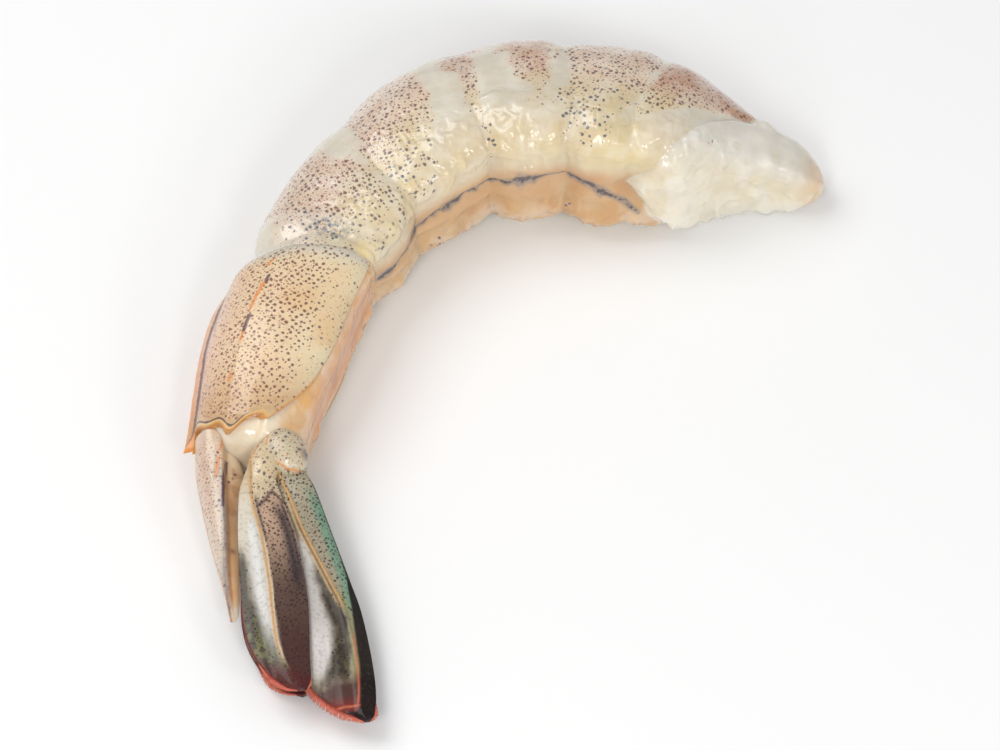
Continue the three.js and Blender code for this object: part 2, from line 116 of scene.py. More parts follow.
ENDS = np.concatenate([[0], np.cumsum([row[0] for row in STRETCHES])])
DEPTHS = np.array([FRONT_DEPTH] + [row[2] for row in STRETCHES])
WIDTHS = np.array([FRONT_WIDTH] + [row[3] for row in STRETCHES])
BODY_LENGTH, SHELL_START = ENDS[-1], ENDS[-2]

# ---- small mathematics


def lerp(a, b, t):
    return a + (b - a) * t


def rise(x, start, end):
    """0 up to start and 1 from end on, smooth between them."""
    t = np.clip((x - start) / (end - start), 0, 1)
    return t * t * (3 - 2 * t)


def fall(x, start, end):
    return 1 - rise(x, start, end)


def bump(x, centre, reach):
    return np.exp(-(((x - centre) / reach) ** 2))


def window(x, start, end, soft):
    """1 between start and end, with soft edges."""
    return rise(x, start - soft, start + soft) * fall(x, end - soft, end + soft)


def curve(points, x):
    """A smooth line through (x, y) points, level beyond its ends."""
    at, to = np.array(points, float).T
    before = np.maximum(np.arange(len(at)) - 1, 0)
    after = np.minimum(np.arange(len(at)) + 1, len(at) - 1)
    slope = (to[after] - to[before]) / (at[after] - at[before])
    t = np.clip(x, at[0], at[-1])
    i = np.clip(np.searchsorted(at, t) - 1, 0, len(at) - 2)
    span = at[i + 1] - at[i]
    u = (t - at[i]) / span
    return (
        to[i] * (1 + 2 * u) * (1 - u) ** 2
        + slope[i] * span * u * (1 - u) ** 2
        + to[i + 1] * (3 - 2 * u) * u**2
        + slope[i + 1] * span * (u - 1) * u**2
    )


def grid(rows, columns):
    return np.meshgrid(rows, columns, indexing="ij")


def circle(count):
    return np.linspace(0, 2 * np.pi, count, endpoint=False)


def crowded(count):
    """Shares from 0 to 1 that lie closer towards 1."""
    return 1 - (1 - np.linspace(0, 1, count)) ** 1.35


def straight(points, x):
    """Straight lines between (x, y) points, level beyond the ends."""
    at, to = zip(*points)
    return np.interp(x, at, to)


def away_from(route, x, y):
    """How far each (x, y) lies from a route of straight lines."""
    nearest = np.full(np.shape(x), np.inf)
    for (x0, y0), (x1, y1) in zip(route, route[1:]):
        span = (x1 - x0) ** 2 + (y1 - y0) ** 2
        t = np.clip(((x - x0) * (x1 - x0) + (y - y0) * (y1 - y0)) / span, 0, 1)
        nearest = np.minimum(nearest, np.hypot(x - lerp(x0, x1, t), y - lerp(y0, y1, t)))
    return nearest


def marks(routes, x, y, reach):
    """1 on any of the routes, fading to 0 beside them."""
    return np.max([bump(away_from(route, x, y), 0, reach) for route in routes], axis=0)


def noise(points, size, seed=0):
    """Smooth noise from -1 to 1, whose swells are about size across."""
    p = np.asarray(points, float) / size
    cell = np.floor(p).astype(np.int64)
    f = p - cell
    f = f * f * f * (f * (f * 6 - 15) + 10)
    total = np.zeros(p.shape[:-1])
    for corner in np.ndindex(2, 2, 2):
        share = np.prod(np.where(corner, f, 1 - f), axis=-1)
        x, y, z = np.moveaxis(cell + corner, -1, 0)
        n = (x * 73856093) ^ (y * 19349663) ^ (z * 83492791) ^ (seed * 2654435761)
        n = ((n ^ (n >> 13)) * 1274126177) & 0xFFFFFFFF
        total += share * (((n ^ (n >> 15)) & 0xFFFF) / 32767.5 - 1)
    return total


def flat_noise(x, y, size, seed):
    """Noise on a plane, which can be drawn out along x or y by a smaller number there."""
    return noise(np.stack([x, y, np.full(np.shape(x), 0.5)], -1), size, seed)


def linear(colour):
    """An sRGB colour of 0 to 255 as the linear values that shaders take."""
    c = np.array(colour, float) / 255
    return np.where(c <= 0.04045, c / 12.92, ((c + 0.055) / 1.055) ** 2.4)


class Paint:
    """sRGB colours laid over each other on a grid of points, from one that covers them all."""

    def __init__(self, points, colour):
        self.tint = np.broadcast_to(linear(colour), points.shape[:2] + (3,))

    def __call__(self, colour, share):
        share = np.clip(share, 0, 1)[..., None]
        self.tint = self.tint * (1 - share) + linear(colour) * share


# ---- the body's surface


def heading(s):
    s = np.asarray(s, float)
    total = 0
    for reach in np.linspace(-BEND_SMOOTHING, BEND_SMOOTHING, 9):
        parts = [bend * np.clip((s + reach - start) / length, 0, 1)
                 for (length, bend, *_), start in zip(STRETCHES, ENDS)]
        total = total + FRONT_HEADING + sum(parts)
    return np.radians(total / 9)


HEADINGS = heading(np.arange(STEP / 2, BODY_LENGTH + RUN_OUT, STEP))
STEPS = np.stack([np.cos(HEADINGS), np.sin(HEADINGS)], -1) * STEP
LINE = np.concatenate([[[0, 0]], np.cumsum(STEPS, axis=0)])


def middle(s):
    i = np.clip(np.floor(s / STEP).astype(int), 0, len(LINE) - 2)
    return lerp(LINE[i], LINE[i + 1], (s / STEP - i)[..., None])


def depth_at(s):
    return curve(list(zip(ENDS, DEPTHS)), s)


def width_at(s):
    return curve(list(zip(ENDS, WIDTHS)), s)


def from_back(degrees):
    wrapped = np.mod(degrees, 360)
    return np.where(wrapped > 180, 360 - wrapped, wrapped)


def plain_radius(s, degrees):
    angle = np.radians(degrees)
    power = lerp(BACK_ROUNDNESS, BELLY_ROUNDNESS, rise(from_back(degrees), 80, 150))
    a = np.abs(np.cos(angle)) / (depth_at(s) / 2)
    b = np.abs(np.sin(angle)) / (width_at(s) / 2)
    return (a**power + b**power) ** (-1 / power)


def skin_edge(degrees):
    return lerp(4.5, 20.5, np.clip((from_back(degrees) - 40) / 140, 0, 1))


def joint_at(stretch, degrees):
    back, flank = STRETCHES[stretch][4:6]
    return ENDS[stretch + 1] + lerp(back, flank, rise(from_back(degrees), 40, 120))


def relief(s, degrees):
    """Grooves between the segments, lobes along the lower flanks and swellings along the belly."""
    around = from_back(degrees)
    flank = bump(around, 142, 22)
    belly = rise(around, 156, 172)
    groove = GROOVE["side"] + GROOVE["flank"] * flank + GROOVE["belly"] * belly
    swell = SWELL["side"] + SWELL["flank"] * flank + SWELL["belly"] * belly
    height = np.zeros(np.shape(s + degrees))
    for i in range(1, len(STRETCHES) - 1):
        start, end = joint_at(i - 1, degrees), joint_at(i, degrees)
        depth = lerp(STRETCHES[i][6], groove, rise(around, 30, 90))
        between = np.clip((s - start) / (end - start), 0, 1)
        height += swell * np.sin(np.pi * between) ** 2 - depth * bump(s, end, GROOVE["reach"])
    sixth = np.clip((s - SHELL_START) / (BODY_LENGTH - SHELL_START), 0, 1)
    height += SWELL["sixth"] * np.sin(np.pi * sixth) ** 2
    folded = rise(s, 13, 22) * fall(s, SHELL_START - 1, SHELL_START + 2)
    height -= folded * (0.4 * bump(around, 163, 6) + 0.3 * bump(around, 180, 7))
    behind = s - skin_edge(degrees)
    return height + 0.3 * bump(behind, -3.2, 2.6) - 0.45 * bump(behind, 0.3, 1.1)


def surface_radius(s, degrees):
    return plain_radius(s, degrees) + relief(s, degrees)


def section_point(s, degrees, radius):
    s, degrees, radius = np.broadcast_arrays(s, degrees, radius)
    turn = heading(np.clip(s, 0, BODY_LENGTH))
    roll = ROLL * fall(s, SHELL_START - UNROLL, SHELL_START)
    angle = np.radians(degrees - roll)
    out = radius * np.cos(angle)
    line = middle(s)
    settle = lerp(-SETTLED, SHELL_CLEARANCE, rise(s, SHELL_START - 4, SHELL_START + 2))
    height = width_at(s) / 2 + settle + radius * np.sin(angle)
    return np.stack([line[..., 0] + out * np.sin(turn), line[..., 1] - out * np.cos(turn), height], -1)


def shell_reach(s):
    t = np.clip((s - SHELL_START) / (BODY_LENGTH - SHELL_START), 0, 1)
    return SHELL_REACH - SHELL_CLIMB * t**6


def shell_front(degrees):
    down = np.clip(from_back(degrees) / SHELL_REACH, 0, 1)
    return SHELL_START + lerp(SHELL_FRONT_ON_BACK, SHELL_FRONT_ON_MARGIN, down)


def shell_end(degrees):
    around = from_back(degrees)
    return BODY_LENGTH + sum(length * bump(around, at, reach) for at, reach, length in SHELL_TEETH)


def place_on_frame():
    """How far the middle line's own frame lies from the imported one, from where the solid meat is."""
    rows = np.concatenate([np.linspace(0.2, BODY_LENGTH, 400), [BODY_LENGTH + REAR_CAP * 0.9]])
    s, degrees = grid(rows, np.arange(0, 360, 2))
    rim = np.sqrt(1 - np.clip(1 - s / FRONT_CAP, 0, 1) ** 2)
    points = section_point(s, degrees, surface_radius(s, degrees) * rim).reshape(-1, 3)
    low, high = (np.array(corner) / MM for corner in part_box("meat"))
    return ((low + high) / 2 - (points.min(0) + points.max(0)) / 2)[:2]


LINE += place_on_frame()

# The skin laid out flat, so that spots on it stay round: a table over s and degrees from the back.
TABLE_S, TABLE_DEGREES = 0.5, 2


def skin_tables():
    """The distance round from the middle of the flank, and how much the skin is stretched there."""
    s, around = grid(np.arange(0, BODY_LENGTH + RUN_OUT / 2, TABLE_S), np.arange(0, 180.1, TABLE_DEGREES))
    points = section_point(s, around, plain_radius(s, around))
    stretch = np.linalg.norm(np.gradient(points, TABLE_S, axis=0), axis=-1)
    steps = np.linalg.norm(np.gradient(points, axis=1), axis=-1) / stretch
    across = np.cumsum(steps, axis=1)
    middle_column = int(90 / TABLE_DEGREES)
    return across - across[:, middle_column:middle_column + 1], stretch


ACROSS, STRETCH = skin_tables()


def skin_place(s, degrees):
    """The skin's flat coordinate across, and its stretch, at places on the body."""
    i = np.clip(s / TABLE_S, 0, len(ACROSS) - 1.001)
    j = np.clip(from_back(degrees) / TABLE_DEGREES, 0, ACROSS.shape[1] - 1.001)
    row, column = i.astype(int), j.astype(int)
    u, v = i - row, j - column
    found = []
    for table in (ACROSS, STRETCH):
        ahead = lerp(table[row + 1, column], table[row + 1, column + 1], v)
        found.append(lerp(lerp(table[row, column], table[row, column + 1], v), ahead, u))
    return found


# ---- meshes from rings of points


def add_object(name, data):
    thing = bpy.data.objects.new(name, data)
    bpy.context.scene.collection.objects.link(thing)
    return thing


def mesh_piece(name, points, faces, material, slot, tint, **values):
    """A smooth mesh piece from points in millimetres, with a colour and named values at them."""
    mesh = bpy.data.meshes.new(name)
    mesh.from_pydata((points.reshape(-1, 3) * MM).tolist(), [], faces)
    mesh.update()
    mesh.shade_smooth()
    colours = np.ones((len(mesh.vertices), 4), np.float32)
    colours[:, :3] = tint.reshape(-1, 3)
    mesh.attributes.new("tint", "FLOAT_COLOR", "POINT").data.foreach_set("color", colours.ravel())
    for key, value in values.items():
        layer = mesh.attributes.new(key, "FLOAT", "POINT")
        layer.data.foreach_set("value", np.asarray(value, np.float32).ravel())
    mesh.materials.append(material)
    piece = add_object(name, mesh)
    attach(piece, "root")
    return piece


def tube_faces(rings, sides, flip=False):
    """The faces of a tube closed by its end rings' centres, which come after the rings' points."""
    i, j = grid(np.arange(rings - 1), np.arange(sides))
    k = (j + 1) % sides
    a, b, c, d = i * sides + j, (i + 1) * sides + j, (i + 1) * sides + k, i * sides + k
    quads = np.stack([a, b, c, d], -1).reshape(-1, 4)
    side = np.arange(sides)
    turn = (side + 1) % sides
    last = (rings - 1) * sides
    first = np.stack([np.full(sides, rings * sides), side, turn], -1)
    end = np.stack([np.full(sides, rings * sides + 1), last + turn, last + side], -1)
    if flip:
        quads, first, end = quads[:, ::-1], first[:, ::-1], end[:, ::-1]
    return quads.tolist() + first.tolist() + end.tolist()


def capped(rings):
    """The points or values of a tube's rings, then those of its two end centres."""
    flat = rings.reshape((-1,) + rings.shape[2:])
    return np.concatenate([flat, rings[:1].mean(1), rings[-1:].mean(1)])


def tube_piece(name, node, rings, material, slot, tint, flip=False, **values):
    """A closed tube of rings that stands for a solid node."""
    faces = tube_faces(*rings.shape[:2], flip)
    values = {key: capped(np.broadcast_to(value, rings.shape[:2])) for key, value in values.items()}
    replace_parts(mesh_piece(name, capped(rings), faces, material, slot, capped(tint), **values), node)


# ---- materials

STIPPLE, RED_BROWN, MAROON, BLUE_BLACK = (196, 132, 104), (148, 86, 66), (106, 60, 54), (70, 76, 92)
SHELL_SPOT = (112, 64, 54)
# How the spots lie: how far a cell's spot strays from its middle, the turn of their rows, and their sway.
SCATTER, SPOT_ROWS_TURN = 0.78, 0.6
SWAY_SIZE, SWAY = 0.5, (0.3, 0.3, 0)
STEEL, NERVE_GREY, NERVE_DARK = (112, 120, 132), (140, 130, 124), (66, 62, 70)
ORANGE, BRIGHT_ORANGE, KEEL_PURPLE = (222, 138, 58), (232, 134, 48), (84, 50, 60)
MILK, DULL_FLESH, PALE_SHELL = (240, 235, 222), (200, 188, 160), (238, 214, 178)
BLADE_GRAIN, BLADE_SPECK, BLADE_DOT = (60, 50, 46), (222, 214, 204), (52, 36, 40)
HAIR_ROOT, HAIR_TIP, HAIR_PINK = (176, 62, 50), (236, 138, 110), (232, 128, 106)


def rgba(colour):
    return (*linear(colour), 1)


class Finish:
    """A wet material built of nodes, which starts from the colour painted on the mesh."""

    def __init__(self, name):
        self.material = bpy.data.materials.new(name)
        self.material.use_nodes = True
        self.tree = self.material.node_tree
        self.place = self.add("TexCoord").outputs["Object"]
        self.colour = self.value("tint", "Color")
        self.skin = self.swayed_skin()

    def add(self, kind, inputs=(), **settings):
        """A new node. inputs gives sockets, by name or number, a value or another node's socket."""
        node = self.tree.nodes.new("ShaderNode" + kind)
        for key, value in settings.items():
            setattr(node, key, value)
        self.fill(node, inputs)
        return node

    def fill(self, node, inputs):
        for key, value in dict(inputs).items():
            if isinstance(value, bpy.types.NodeSocket):
                self.tree.links.new(value, node.inputs[key])
            else:
                node.inputs[key].default_value = value

    def value(self, name, output="Fac"):
        return self.add("Attribute", attribute_name=name).outputs[output]

    def maths(self, operation, *values):
        return self.add("Math", enumerate(values), operation=operation).outputs[0]

    def times(self, a, b):
        return self.maths("MULTIPLY", a, b)

    def less(self, a, b):
        return self.maths("SUBTRACT", a, b)

    def ramp(self, value, start, end, low=0, high=1):
        inputs = enumerate((value, start, end, low, high))
        return self.add("MapRange", inputs, interpolation_type="SMOOTHSTEP").outputs[0]

    def mix(self, share, a, b):
        """Colour a with a share of b over it. Inputs 6 and 7 and output 2 are the node's colour sockets."""
        return self.add("Mix", {0: share, 6: a, 7: b}, data_type="RGBA").outputs[2]

    def paint(self, colour, share, strength=1):
        """Lays an sRGB colour, or a colour socket, over what the material has so far."""
        given = colour if isinstance(colour, bpy.types.NodeSocket) else rgba(colour)
        self.colour = self.mix(self.times(share, strength), self.colour, given)

    def noise(self, size, detail=3, warp=0):
        inputs = {"Vector": self.place, "Scale": 1 / (size * MM), "Detail": detail, "Distortion": warp}
        return self.add("TexNoise", inputs).outputs["Fac"]

    def swayed_skin(self):
        """Places on the flattened skin in millimetres, swayed a little so that spots aren't quite round."""
        flat = self.add("CombineXYZ", {0: self.value("along"), 1: self.value("across")}).outputs[0]
        sway = self.add("TexNoise", {"Vector": self.place, "Scale": 1 / (SWAY_SIZE * MM)}).outputs["Color"]
        swayed = self.add("VectorMath", {0: sway, 1: SWAY, 2: flat}, operation="MULTIPLY_ADD").outputs[0]
        inputs = {"Vector": swayed, "Angle": SPOT_ROWS_TURN}
        return self.add("VectorRotate", inputs, rotation_type="Z_AXIS").outputs[0]

    def spots(self, spacing, smallest, largest, share, softness, scatter=SCATTER):
        """Round spots on the skin, as many as share says: how much of each place they cover."""
        inputs = {"Vector": self.skin, "Scale": 1 / spacing, "Randomness": scatter}
        cells = self.add("TexVoronoi", inputs, voronoi_dimensions="2D").outputs
        draws = self.add("SeparateColor", {0: cells["Color"]}).outputs
        away = self.times(cells["Distance"], self.times(self.value("stretch"), spacing))
        radius = self.ramp(draws[0], 0, 1, smallest, largest)
        cover = self.ramp(away, self.times(radius, 1 + softness), self.times(radius, 1 - softness))
        return self.times(cover, self.ramp(self.less(share, draws[1]), 0, 0.12))

    def spotted(self, strength=1, scatter=SCATTER, dark=MAROON, sizes=(0.07, 0.19)):
        """The three sizes of pigment spot. Gives how much of each place is free of them."""
        stipple = self.spots(0.29, 0.035, 0.07, self.value("stipple"), 0.5)
        self.paint(STIPPLE, stipple, 0.6 * strength)
        small = self.spots(0.4, 0.045, 0.095, self.value("small_spots"), 0.45, scatter)
        self.paint(RED_BROWN, small, 0.85 * strength)
        large = self.spots(0.58, *sizes, self.value("large_spots"), 0.4, scatter)
        self.paint(self.mix(self.value("blueness"), rgba(dark), rgba(BLUE_BLACK)), large, 0.92 * strength)
        return self.less(1, self.maths("MAXIMUM", small, large))

    def patches(self, size, detail, start, end, low=0, high=1, warp=0):
        """Soft patches of noise, from low to high."""
        return self.ramp(self.noise(size, detail, warp), start, end, low, high)

    def ragged(self, name, size, amount, start, end):
        """A painted line or patch whose edges are broken up by noise."""
        shake = self.maths("MULTIPLY_ADD", self.noise(size), amount, -amount / 2)
        return self.ramp(self.maths("ADD", self.value(name), shake), start, end)

    def bump(self, height, strength, reach, below=None):
        inputs = {"Height": height, "Strength": strength, "Distance": reach * MM}
        if below is not None:
            inputs["Normal"] = below
        return self.add("Bump", inputs).outputs[0]

    def finish(self, roughness, coat, coat_roughness, specular=0.5, softness=None, depth=None, normal=None):
        inputs = {"Base Color": self.colour, "Roughness": roughness, "Specular IOR Level": specular,
                  "Coat Weight": coat, "Coat Roughness": coat_roughness, "Coat IOR": 1.5}
        if softness is not None:
            inputs |= {"Subsurface Weight": softness, "Subsurface Radius": depth, "Subsurface Scale": MM}
        if normal is not None:
            inputs |= {"Normal": normal, "Coat Normal": normal}
        self.fill(self.tree.nodes["Principled BSDF"], inputs)
        return self.material


def flesh_material():
    f = Finish("wet_flesh")
    f.paint(MILK, f.times(f.value("milky"), f.patches(2.6, 4, 0.42, 0.64)), 0.32)
    f.paint(DULL_FLESH, f.patches(3.6, 3, 0.5, 0.7, warp=0.5), 0.2)
    clear = f.spotted(0.95)
    f.paint(STEEL, f.times(f.value("haze"), f.patches(0.5, 2, 0.42, 0.6)), 0.7)
    f.paint(NERVE_GREY, f.ragged("nerve", 0.6, 1.2, -1, 0.4), 0.7)
    vein = f.ragged("nerve", 0.5, 2.2, 0.25, 0.75)
    f.paint(NERVE_DARK, vein, 0.85)
    fine = f.bump(f.noise(0.4, 2), 0.15, 0.03)
    wrinkled = f.times(f.noise(1.6, 1, 0.8), f.ramp(f.value("loose"), 0, 1, 0.3, 1))
    film = f.bump(wrinkled, 0.55, 0.5, fine)
    return f.finish(
        roughness=f.patches(1.2, 2, 0.3, 0.7, 0.34, 0.5),
        coat=1,
        coat_roughness=0.07,
        specular=0.35,
        softness=f.times(f.times(clear, f.less(1, vein)), 0.5),
        depth=(2.2, 1.5, 0.9),
        normal=film,
    )


def shell_material(name):
    f = Finish(name)
    f.paint(PALE_SHELL, f.patches(0.9, 4, 0.38, 0.66), 0.22)
    clear = f.spotted(scatter=0.6, dark=SHELL_SPOT, sizes=(0.09, 0.165))
    f.paint(KEEL_PURPLE, f.ragged("line", 0.4, 0.7, 0.15, 0.5), 0.85)
    f.paint(BRIGHT_ORANGE, f.ragged("fleck", 0.5, 1, 0.3, 0.6), 0.8)
    f.paint(ORANGE, f.value("rim"), 0.85)
    fine = f.bump(f.noise(0.2, 3), 0.2, 0.03)
    film = f.bump(f.noise(2, 2), 0.3, 0.15, fine)
    return f.finish(
        roughness=f.patches(1.4, 2, 0.3, 0.7, 0.28, 0.44),
        coat=0.45,
        coat_roughness=0.12,
        softness=f.times(clear, 0.35),
        depth=(1.4, 0.8, 0.45),
        normal=film,
    )


def blade_material():
    f = Finish("tail_blade")
    f.paint(BLADE_GRAIN, f.patches(0.35, 5, 0.45, 0.75), 0.32)
    f.paint(BLADE_SPECK, f.patches(0.28, 4, 0.52, 0.8), 0.03)
    f.paint(BLADE_DOT, f.spots(0.4, 0.06, 0.13, f.value("dots"), 0.4), 0.85)
    fine = f.bump(f.noise(0.18, 3), 0.35, 0.03)
    streaks = f.bump(f.value("streak"), 0.5, 0.08, fine)
    return f.finish(
        roughness=f.patches(0.9, 2, 0.3, 0.7, 0.28, 0.42),
        coat=0.22,
        coat_roughness=0.06,
        specular=0.16,
        normal=streaks,
    )


def fringe_material():
    f = Finish("fringe_hair")
    f.paint(HAIR_PINK, f.patches(0.3, 2, 0.3, 0.7), 0.5)
    return f.finish(roughness=0.45, coat=0.2, coat_roughness=0.2)


# ---- the meat

# Soft lobes of the flanks: (s, degrees from the back, reach along, reach round, height).
LOBES = (
    (20.9, 147, 2.4, 15, 0.45),
    (25, 160, 1.5, 9, 0.2),
    (28.4, 150, 0.7, 12, 0.18),
    (31.4, 160, 2, 11, 0.25),
    (33.3, 148, 0.6, 10, 0.22),
    (35.2, 158, 1.5, 10, 0.25),
    (44, 152, 0.7, 9, 0.2),
    (46.8, 158, 1.5, 9, 0.25),
    (51.6, 143, 0.9, 12, 0.3),
    (53.4, 153, 0.6, 8, 0.22),
    (57.5, 150, 0.8, 9, 0.2),
    (61.2, 144, 1.2, 9, 0.3),
    (63.6, 155, 1.6, 7, 0.25),
    (67.5, 157, 1.5, 5, 0.2),
)
FLAP = dict(s=7.2, around=68, along=1.2, reach=9, height=0.8)

# Pigmented bands of the skin. Each has its front and rear as (degrees from the back, s) lines, how dense
# its spots are by degrees, the shares of small and of large spots, how blue they are, and how rusty the
# ground is.
BANDS = (
    (((0, 5.2), (60, 7.2), (81, 8.8), (100, 13.2), (121, 18.6), (126, 20.5)),
     ((0, 17.4), (60, 18), (105, 19.4), (126, 20)),
     ((0, 1), (110, 1), (126, 0.8), (150, 0)), 1, 1, 0.1, 1),
    (((0, 17.8), (60, 18.4), (105, 19.8), (135, 22.5), (160, 24.5)), ((0, 26.9), (180, 27)),
     ((0, 1), (75, 1), (105, 0.85), (140, 0.55), (160, 0)), 0.7, 0.9, 0.5, 0.25),
    (((0, 26), (90, 26.3), (180, 26.5)), ((0, 27.8), (180, 27.8)),
     ((0, 1), (100, 0.95), (125, 0.6), (158, 0.4), (164, 0)), 0.5, 1.1, 0.7, 0.2),
    (((0, 29.2), (110, 29.5)), ((0, 34.4), (60, 34), (110, 32)),
     ((0, 1), (85, 1), (112, 0.5), (130, 0)), 1, 0.7, 0, 0.7),
    (((0, 35.6), (55, 36.2), (80, 37.3), (180, 37.6)), ((0, 39.5), (70, 39.3), (85, 38.7), (180, 38.8)),
     ((0, 1), (90, 1), (115, 0.7), (150, 0.3), (160, 0)), 1, 1.1, 0.25, 0.7),
    (((0, 41.8), (90, 42.4), (110, 43.6), (129, 46), (150, 48.4)),
     ((0, 48.8), (60, 49.2), (86, 50.6), (121, 52), (150, 51.5)),
     ((0, 1), (105, 1), (125, 0.8), (148, 0.4), (160, 0)), 0.8, 1.05, 0.1, 0.25),
    (((0, 49.2), (60, 49.4), (86, 49.4), (121, 50.8), (140, 51)),
     ((0, 50), (86, 51.3), (121, 52.4), (140, 52.4)),
     ((0, 0), (70, 0.2), (88, 1), (112, 0.9), (125, 0.3), (140, 0)), 0.3, 1.2, 0.5, 0.1),
    (((0, 53.2), (73, 52.8), (110, 53), (157, 53.8)), ((0, 61), (60, 61.6), (110, 62.2), (157, 60.5)),
     ((0, 1), (110, 0.9), (128, 0.65), (145, 0.4), (160, 0)), 0.85, 1.05, 0.05, 0.3),
    (((0, 61.6), (60, 60.6), (74, 59.8), (137, 60)), ((0, 66), (74, 65), (137, 63.5)),
     ((35, 0), (50, 0.45), (75, 0.7), (125, 0.6), (142, 0)), 0.4, 1.1, 0.9, 0),
)


def pigment(s, degrees, points):
    """The skin's spots by size, how blue they are, and how rusty and how pigmented the ground is."""
    around = from_back(degrees)
    ragged = 0.9 * noise(points, 1.9, 5) + 0.4 * noise(points, 0.8, 6)
    uneven = 1 + 0.25 * noise(points, 3.5, 7)
    found = {key: np.zeros(s.shape) for key in ("small", "large", "blue", "rust", "skin")}
    for front, rear, density, small, large, blue, rust in BANDS:
        inside = rise(s - straight(front, around) + ragged, -0.7, 0.6)
        inside = inside * rise(straight(rear, around) - s + ragged, -0.7, 0.6)
        dense = inside * straight(density, around)
        band = dict(small=dense * small * uneven, large=dense * large * uneven, blue=inside * blue,
                    rust=inside * rust, skin=dense)
        for key, amount in band.items():
            found[key] = np.maximum(found[key], amount)
    found["blue"] = np.clip(found["blue"] + 0.6 * rise(around, 95, 140), 0, 1)
    found["small"] = found["small"] * lerp(1, 0.5, rise(around, 90, 130))
    return found


# The nerve cord along the belly: (s, degrees), and its half width in millimetres along it.
NERVE = ((19, 203), (20.5, 195), (22, 186), (25, 178), (29, 176), (33, 177), (38, 179), (44, 178), (50, 181),
         (56, 184), (62, 180))
NERVE_WIDTH = ((18.5, 0), (20, 0.5), (22, 0.4), (24.5, 0.35), (26.4, 0.6), (27, 0.1), (28, 0.12),
               (30.5, 0.3), (33.4, 0.8), (35.5, 0.35), (39, 0.16), (44, 0.28), (47, 0.4), (52, 0.2),
               (57, 0.18), (60, 0.35), (62, 0))

CREAM, BARE, YELLOW = (219, 205, 182), (214, 206, 190), (214, 193, 143)
PINK, RUSTY = (231, 211, 191), (184, 130, 98)
# The belly strip's amber is partly its own orange-tan and partly painted shade, darker and warmer for the
# shadow it lies in under the body.
MUSCLE, LOBE, SHADED_BELLY_AMBER, DEEP_AMBER = (219, 214, 203), (228, 210, 164), (203, 158, 104), (186, 126, 74)
JOINT_CREAM, CUT_TAN = (238, 220, 190), (214, 172, 122)


def shell_depth(from_front, from_margin):
    """The shell's thickness, which thins out towards its front edge and lower margins."""
    return SHELL_THICKNESS * (0.1 + 0.9 * rise(from_front, 0, 3.5) * rise(from_margin, 0, 10))


def under_shell(s, degrees):
    """How far the meat lies below the body's surface, under the shell and in its opening."""
    around = from_back(degrees)
    opening = rise(around, shell_reach(s) - 1.5, shell_reach(s) + 5)
    into = s - shell_front(degrees)
    inset = lerp(0.04 + shell_depth(into, shell_reach(s) - around), 0.3, opening)
    return inset * rise(into, -0.6, 0.3)


def fine_relief(s, degrees, points):
    around = from_back(degrees)
    across, _ = skin_place(s, degrees)
    height = 0.12 * noise(points, 4.2, 1) + 0.05 * noise(points, 1.7, 2) + 0.02 * noise(points, 0.7, 3)
    for at, angle, along, reach, tall in LOBES:
        height += 1.3 * tall * bump(s, at, along) * bump(around, angle, reach)
    flank = rise(around, 95, 130) * fall(around, 165, 176)
    folds = (1 - np.abs(flat_noise(s + 0.3 * across, 0.5 * across, 1.4, 4))) ** 3
    crumple = (1 - np.abs(noise(points, 1.2, 9))) ** 3
    patchy = rise(noise(points, 2.6, 8), -0.2, 0.5) * rise(around, 112, 142)
    edge = s - skin_edge(degrees) - 0.55 * noise(points, 2.2, 20)
    muscle = fall(edge, -0.3, 0.1)
    low_muscle = rise(around, 106, 130)
    height += flank * (0.24 * folds * patchy + 0.09 * crumple) * (1 - muscle * (1 - low_muscle))
    for i in range(1, len(STRETCHES) - 1):
        wander = 0.45 * noise(points, 2.5, 10 + i)
        height -= (0.06 + 0.1 * flank) * bump(s + wander, joint_at(i, degrees), 0.35)
    height += 0.1 * rise(edge, -0.05, 0.3) * fall(edge, 0.3, 4)
    pleats = (1 - np.abs(flat_noise(s - 0.45 * across, 0.4 * across, 1.5, 21))) ** 4
    ripples = flat_noise(s - 0.45 * across, 0.35 * across, 0.9, 23)
    height += muscle * low_muscle * (0.26 * ripples + 0.25 * pleats) * rise(s, 1, 4)
    rounded = 0.3 * bump(around, 105, 20) - 0.7 * rise(around, 126, 160)
    height += rounded * window(s, 3, 13, 2) * muscle
    flap = FLAP["height"] * bump(s, FLAP["s"], FLAP["along"]) * bump(degrees, FLAP["around"], FLAP["reach"])
    groove = 0.18 * bump(degrees, curve(NERVE, s), 3) * rise(s, 20, 24) * fall(s, 58, 63)
    return height + flap - groove, muscle, np.maximum(flank * (1 - muscle), muscle * low_muscle)


